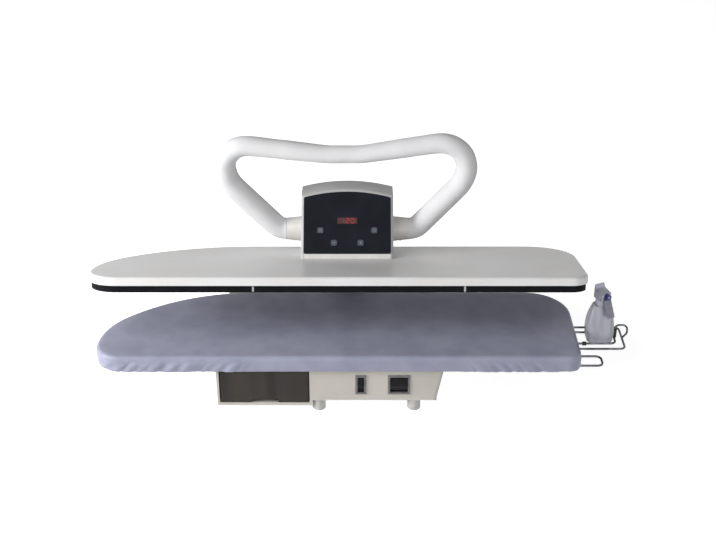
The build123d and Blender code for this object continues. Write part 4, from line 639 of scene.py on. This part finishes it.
def bent_tube(name, start, corners, end, radii):
    """Tube through corners with round bends, with a radius at each of its knots."""
    points = [Vector((*start, 0))]
    for x, y, _ in corners:
        points.append(Vector((x, y, 0)))
    points.append(Vector((*end, 0)))
    path = [(points[0], None, None)]
    for place, (_, _, bend) in enumerate(corners, 1):
        back = (points[place - 1] - points[place]).normalized()
        on = (points[place + 1] - points[place]).normalized()
        turn = pi - back.angle(on)
        reach = bend * tan(turn / 2)
        pull = 4 / 3 * tan(turn / 4) * bend
        path.append((points[place] + back * reach, None, -back * pull))
        path.append((points[place] + on * reach, -on * pull, None))
    path.append((points[-1], None, None))
    curve = bpy.data.curves.new(name, "CURVE")
    curve.dimensions = "3D"
    spline = curve.splines.new("BEZIER")
    spline.bezier_points.add(len(path) - 1)
    for place, (spot, left, right) in enumerate(path):
        knot = spline.bezier_points[place]
        before = path[max(0, place - 1)][0]
        after = path[min(len(path) - 1, place + 1)][0]
        knot.co = spot
        knot.radius = radii[place]
        knot.handle_left_type = knot.handle_right_type = "FREE"
        knot.handle_left = spot + (left if left is not None else (before - spot) / 3)
        knot.handle_right = spot + (right if right is not None else (after - spot) / 3)
    curve.bevel_depth = 1
    curve.bevel_resolution = 12
    curve.resolution_u = 14
    curve.use_fill_caps = True
    holder = bpy.data.objects.new(name, curve)
    mesh = bpy.data.meshes.new_from_object(holder)
    bpy.data.objects.remove(holder)
    bpy.data.curves.remove(curve)
    return mesh


grip_mesh = bent_tube("grip", (-grip_start, 0), grip_corners, (grip_start, 0), grip_radii)
grip_bm = bmesh.new()
grip_bm.from_mesh(grip_mesh)
bpy.data.meshes.remove(grip_mesh)
bmesh.ops.remove_doubles(grip_bm, verts=grip_bm.verts[:], dist=0.01)
for _ in range(grip_softening):
    bmesh.ops.smooth_vert(grip_bm, verts=[v for v in grip_bm.verts if abs(v.co.x) > grip_start + 3],
                          factor=0.5, use_axis_x=True, use_axis_y=True, use_axis_z=True)
for vertex in grip_bm.verts:
    # Foam is never quite round: its sides swell and flatten a little along the way
    spot = vertex.co
    lump = noise.noise(Vector((spot.x / 60, spot.y / 60, spot.z / 40)))
    spot.z *= 1 + grip_swell * lump
grip_sleeve = keep(grip_bm, "grip_sleeve", handle_place, foam, "head")
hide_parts("handle_grip")

# Clamp screws, whose round heads show under the handle's sockets
screw_places = (-108, 109)
screw_radius = 3.9
screw_length = 5
screw_down = 25
screw_rim = 0.8
screw_bm = bmesh.new()
for screw_x in screw_places:
    screw = bmesh.ops.create_cone(screw_bm, cap_ends=True, segments=24, radius1=screw_radius,
                                  radius2=screw_radius, depth=screw_length)["verts"]
    bmesh.ops.rotate(screw_bm, cent=(0, 0, 0), matrix=Matrix.Rotation(pi / 2, 3, "X"), verts=screw)
    bmesh.ops.translate(screw_bm, vec=(screw_x, -screw_down, 0), verts=screw)
rims = [e for e in screw_bm.edges if len(e.link_faces) == 2 and max(len(f.verts) for f in e.link_faces) > 4]
rounded(screw_bm, rims, screw_rim, 3)
keep(screw_bm, "socket_screws", handle_place, spring_steel, "head", smooth=False)

# Display: three lit figures, drawn just proud of the window so that they show. A figure has up to seven
# bars, which stand or lie.
figure_width = 7.5
figure_height = 10
bar_width = 1.4
bar_thickness = 0.2
bar_corner = 0.5
bar_lift = 0.12
display_up = 74
figure_pitch = 11.5
bars = {
    "top": (0, 1, True), "middle": (0, 0, True), "bottom": (0, -1, True),
    "top_left": (-1, 0.5, False), "top_right": (1, 0.5, False),
    "low_left": (-1, -0.5, False), "low_right": (1, -0.5, False),
}
shown = [("top_right", "low_right"),
         ("top", "middle", "bottom", "top_right", "low_left"),
         ("top", "bottom", "top_left", "top_right", "low_left", "low_right")]
display_bm = bmesh.new()
for place, lit in enumerate(shown):
    for bar in lit:
        across, up, lying = bars[bar]
        length = (figure_width if lying else figure_height / 2) - bar_width
        spot = Vector(((place - 1) * figure_pitch + across * figure_width / 2,
                       display_up + up * figure_height / 2, panel_face + bar_lift))
        size = (length, bar_width, bar_thickness) if lying else (bar_width, length, bar_thickness)
        made = bmesh.ops.create_cube(display_bm, size=1)["verts"]
        bmesh.ops.scale(display_bm, vec=size, verts=made)
        bmesh.ops.translate(display_bm, vec=spot, verts=made)
rims = [e for e in display_bm.edges if abs((e.verts[0].co - e.verts[1].co).z) > bar_thickness / 2]
rounded(display_bm, rims, bar_corner, 2)
keep(display_bm, "display_bars", panel_place, lit_bar, "head", smooth=False)


def flat_block(bm, width, height, x, y, z, thick, corner=0):
    """Thin plate, with rounded corners if they have a radius, drawn on the panel."""
    made = bmesh.ops.create_cube(bm, size=1)["verts"]
    bmesh.ops.scale(bm, vec=(width, height, thick), verts=made)
    bmesh.ops.translate(bm, vec=(x, y, z + thick / 2), verts=made)
    if corner > 0:
        uprights = {e for v in made for e in v.link_edges
                    if abs((e.verts[0].co - e.verts[1].co).z) > thick / 2}
        rounded(bm, list(uprights), corner, 4)


# Strip under the panel, in the shell's plastic painted paler: a painted reflection of the head cover
strip_width = 189
strip_height = 10.6
strip_down = 6
strip_thickness = 0.5
strip_corner = 1.6
strip_bm = bmesh.new()
flat_block(strip_bm, strip_width, strip_height, 0, -strip_down, 0, strip_thickness, strip_corner)
keep(strip_bm, "panel_foot_strip_painted_reflection", panel_place, strip_abs_painted_reflection, "head", smooth=False)

# Printed pads and plain marks on the buttons. Each stroke of a mark has its width, its height and its place
# from the middle of the button.
button_places = {"steam": (-59, 52), "minus": (-29, 24), "plus": (29, 24), "power": (59, 52)}
strokes = {
    "steam": [(0.9, 5, -2.2, 0), (0.9, 5, 0, 0), (0.9, 5, 2.2, 0)],
    "minus": [(6, 1.1, 0, 0)],
    "plus": [(6, 1.1, 0, 0), (1.1, 6, 0, 0)],
    "power": [(1, 3.4, 0, 2), (4.6, 1, 0, -2.4), (1, 4, -2.3, -0.4), (1, 4, 2.3, -0.4)],
}
button_top = 2.6
print_side = 13
print_corner = 3
print_sink = 0.1
print_height = 0.25
print_z = button_top - print_sink
mark_z = print_z + print_height
mark_height = 0.12
for button, (x, up) in button_places.items():
    pad_print = bmesh.new()
    flat_block(pad_print, print_side, print_side, x, up, print_z, print_height, print_corner)
    keep(pad_print, f"{button}_pad", panel_place, button_print, f"{button}_button",
         smooth=False)
    mark = bmesh.new()
    for width, height, across, over in strokes[button]:
        flat_block(mark, width, height, x + across, up + over, mark_z, mark_height)
    keep(mark, f"{button}_mark", panel_place, mark_print, f"{button}_button", smooth=False)

# Blue nozzle cap on the spray head, ribbed round its edge, with the hole of its jet
bottle_spot = Vector((566, 143.5, 106.3))
spray_yaw = 65
spray_place = base_place @ Matrix.Translation(bottle_spot) @ Matrix.Rotation(radians(-spray_yaw), 4, "Z")
cap_x = 20.5
cap_up = 111
cap_back_radius = 6.4
cap_front_radius = 5.9
cap_length = 8.5
rib_gap = 0.25
rib_depth = 0.35
jet_inset = 3.6
jet_edge = 0.3
jet_depth = 1.5
cap_bm = bmesh.new()
bmesh.ops.create_cone(cap_bm, cap_ends=True, segments=32, radius1=cap_back_radius, radius2=cap_front_radius,
                      depth=cap_length)
bmesh.ops.rotate(cap_bm, cent=(0, 0, 0), matrix=Matrix.Rotation(pi / 2, 3, "Y"), verts=cap_bm.verts[:])
bmesh.ops.translate(cap_bm, vec=(cap_x, 0, cap_up), verts=cap_bm.verts[:])
cap_sides = [f for f in cap_bm.faces if len(f.verts) == 4][::2]
bmesh.ops.inset_individual(cap_bm, faces=cap_sides, thickness=rib_gap, depth=-rib_depth)
cap_front = max((f for f in cap_bm.faces if len(f.verts) > 8), key=lambda f: f.calc_center_median().x)
bmesh.ops.inset_region(cap_bm, faces=[cap_front], thickness=jet_inset, depth=0)
bmesh.ops.inset_region(cap_bm, faces=[cap_front], thickness=jet_edge, depth=-jet_depth)
keep(cap_bm, "nozzle_cap", spray_place, nozzle_blue, "bottle", smooth=False)

# Resin cartridge against scale, behind the tank's front wall
filter_size = (22, 16, 34)
filter_spot = (-213, 24.5, 45)
filter_rim = 3
filter_bm = bmesh.new()
bmesh.ops.create_cube(filter_bm, size=1)
bmesh.ops.scale(filter_bm, vec=filter_size, verts=filter_bm.verts[:])
bmesh.ops.translate(filter_bm, vec=filter_spot, verts=filter_bm.verts[:])
rounded(filter_bm, filter_bm.edges[:], filter_rim, 3)
keep(filter_bm, "scale_filter", base_place, resin_beads, "tank", smooth=False)

# Red lens in the lower half of the slim rocker, upright while the rocker is tilted
lens_size = (9, 1, 12)
lens_offset = (0, -5.7, -9.5)
lens_rim = 0.4
rocker_tilt = 8
rocker_centre = (44.5, 15.5, 68)
lens_bm = bmesh.new()
bmesh.ops.create_cube(lens_bm, size=1)
bmesh.ops.scale(lens_bm, vec=lens_size, verts=lens_bm.verts[:])
rounded(lens_bm, lens_bm.edges[:], lens_rim, 2)
lens_turn = Matrix.Translation(rocker_centre) @ Matrix.Rotation(radians(rocker_tilt), 4, "X")
lens_upright = Matrix.Rotation(radians(-rocker_tilt), 4, "X")
lens_place = base_place @ lens_turn @ Matrix.Translation(lens_offset) @ lens_upright
keep(lens_bm, "steam_lens", lens_place, switch_lens, "steam_switch", smooth=False)

# Floor, light and camera


def seen_rays(tree):
    """Socket that is 1 for the camera's rays, and for reflected and transmitted ones."""
    path = add_node(tree, "ShaderNodeLightPath")
    either = add_node(tree, "ShaderNodeMath", {0: path.outputs["Is Camera Ray"],
                                               1: path.outputs["Is Glossy Ray"]}, {"operation": "MAXIMUM"})
    any_of_them = add_node(tree, "ShaderNodeMath", {0: either.outputs["Value"],
                                                    1: path.outputs["Is Transmission Ray"]},
                           {"operation": "MAXIMUM"})
    return any_of_them.outputs["Value"]


# The paper glows for the seen rays alone, so it looks white and still takes the object's shadow
floor_reach = 12
floor_bm = bmesh.new()
bmesh.ops.create_grid(floor_bm, x_segments=1, y_segments=1, size=floor_reach)
floor_mesh = bpy.data.meshes.new("floor")
floor_bm.to_mesh(floor_mesh)
floor_bm.free()
floor = bpy.data.objects.new("floor", floor_mesh)
bpy.context.scene.collection.objects.link(floor)
floor_paper = bpy.data.materials.new("matt_white_paper")
floor_paper.use_nodes = True
paper = floor_paper.node_tree
paper.nodes.clear()
paper_lift = 0.78
lift = add_node(paper, "ShaderNodeMath", {0: seen_rays(paper)}, {"operation": "MULTIPLY"}, {1: paper_lift})
paper_glow = add_node(paper, "ShaderNodeEmission", {"Strength": lift.outputs["Value"]})
paper_body = add_node(paper, "ShaderNodeBsdfDiffuse", values={"Color": linear("#f2f2f2")})
paper_sum = add_node(paper, "ShaderNodeAddShader", {0: paper_body.outputs["BSDF"],
                                                    1: paper_glow.outputs["Emission"]})
add_node(paper, "ShaderNodeOutputMaterial", {"Surface": paper_sum.outputs["Shader"]})
floor_mesh.materials.append(floor_paper)

# The world is white for the seen rays and a low even light for the rest
world_level = 0.14
world = bpy.data.worlds.new("studio")
bpy.context.scene.world = world
world.use_nodes = True
sky = world.node_tree
sky.nodes.clear()
sky_strength = add_node(sky, "ShaderNodeMapRange", {"Value": seen_rays(sky)},
                        values={"To Min": world_level, "To Max": 1})
backdrop = add_node(sky, "ShaderNodeBackground", {"Strength": sky_strength.outputs["Result"]},
                    values={"Color": (1, 1, 1, 1)})
add_node(sky, "ShaderNodeOutputWorld", {"Surface": backdrop.outputs["Background"]})


def soft_box(name, place, aim, width, height, power):
    """Area lamp that looks at a point."""
    lamp = bpy.data.lights.new(name, "AREA")
    lamp.shape = "RECTANGLE"
    lamp.size = width
    lamp.size_y = height
    lamp.energy = power
    holder = bpy.data.objects.new(name, lamp)
    bpy.context.scene.collection.objects.link(holder)
    holder.location = place
    holder.rotation_euler = (Vector(aim) - Vector(place)).to_track_quat("-Z", "Y").to_euler()


# A high lamp from the left front, whose light the open head keeps off the board's middle, a low one at the
# nose and a low one from the right front
soft_box("high_softbox", (-1.8, -1.6, 2.8), (0, 0, 0.25), 2, 1.4, 39)
soft_box("left_softbox", (-2.3, -0.9, 0.95), (-0.35, -0.1, 0.15), 1, 0.7, 66)
soft_box("right_softbox", (1.6, -2.6, 0.9), (0.1, 0, 0.2), 1.4, 0.8, 27)

camera_spot = (-0.01375, -2.5625, 1.598)
camera_pitch = 28.6
camera_data = bpy.data.cameras.new("camera")
camera_data.sensor_width = 36
camera_data.lens = 65.16
camera = bpy.data.objects.new("camera", camera_data)
bpy.context.scene.collection.objects.link(camera)
camera.location = camera_spot
camera.rotation_euler = (radians(90 - camera_pitch), 0, 0)
bpy.context.scene.camera = camera
bpy.context.scene.view_settings.view_transform = "Standard"
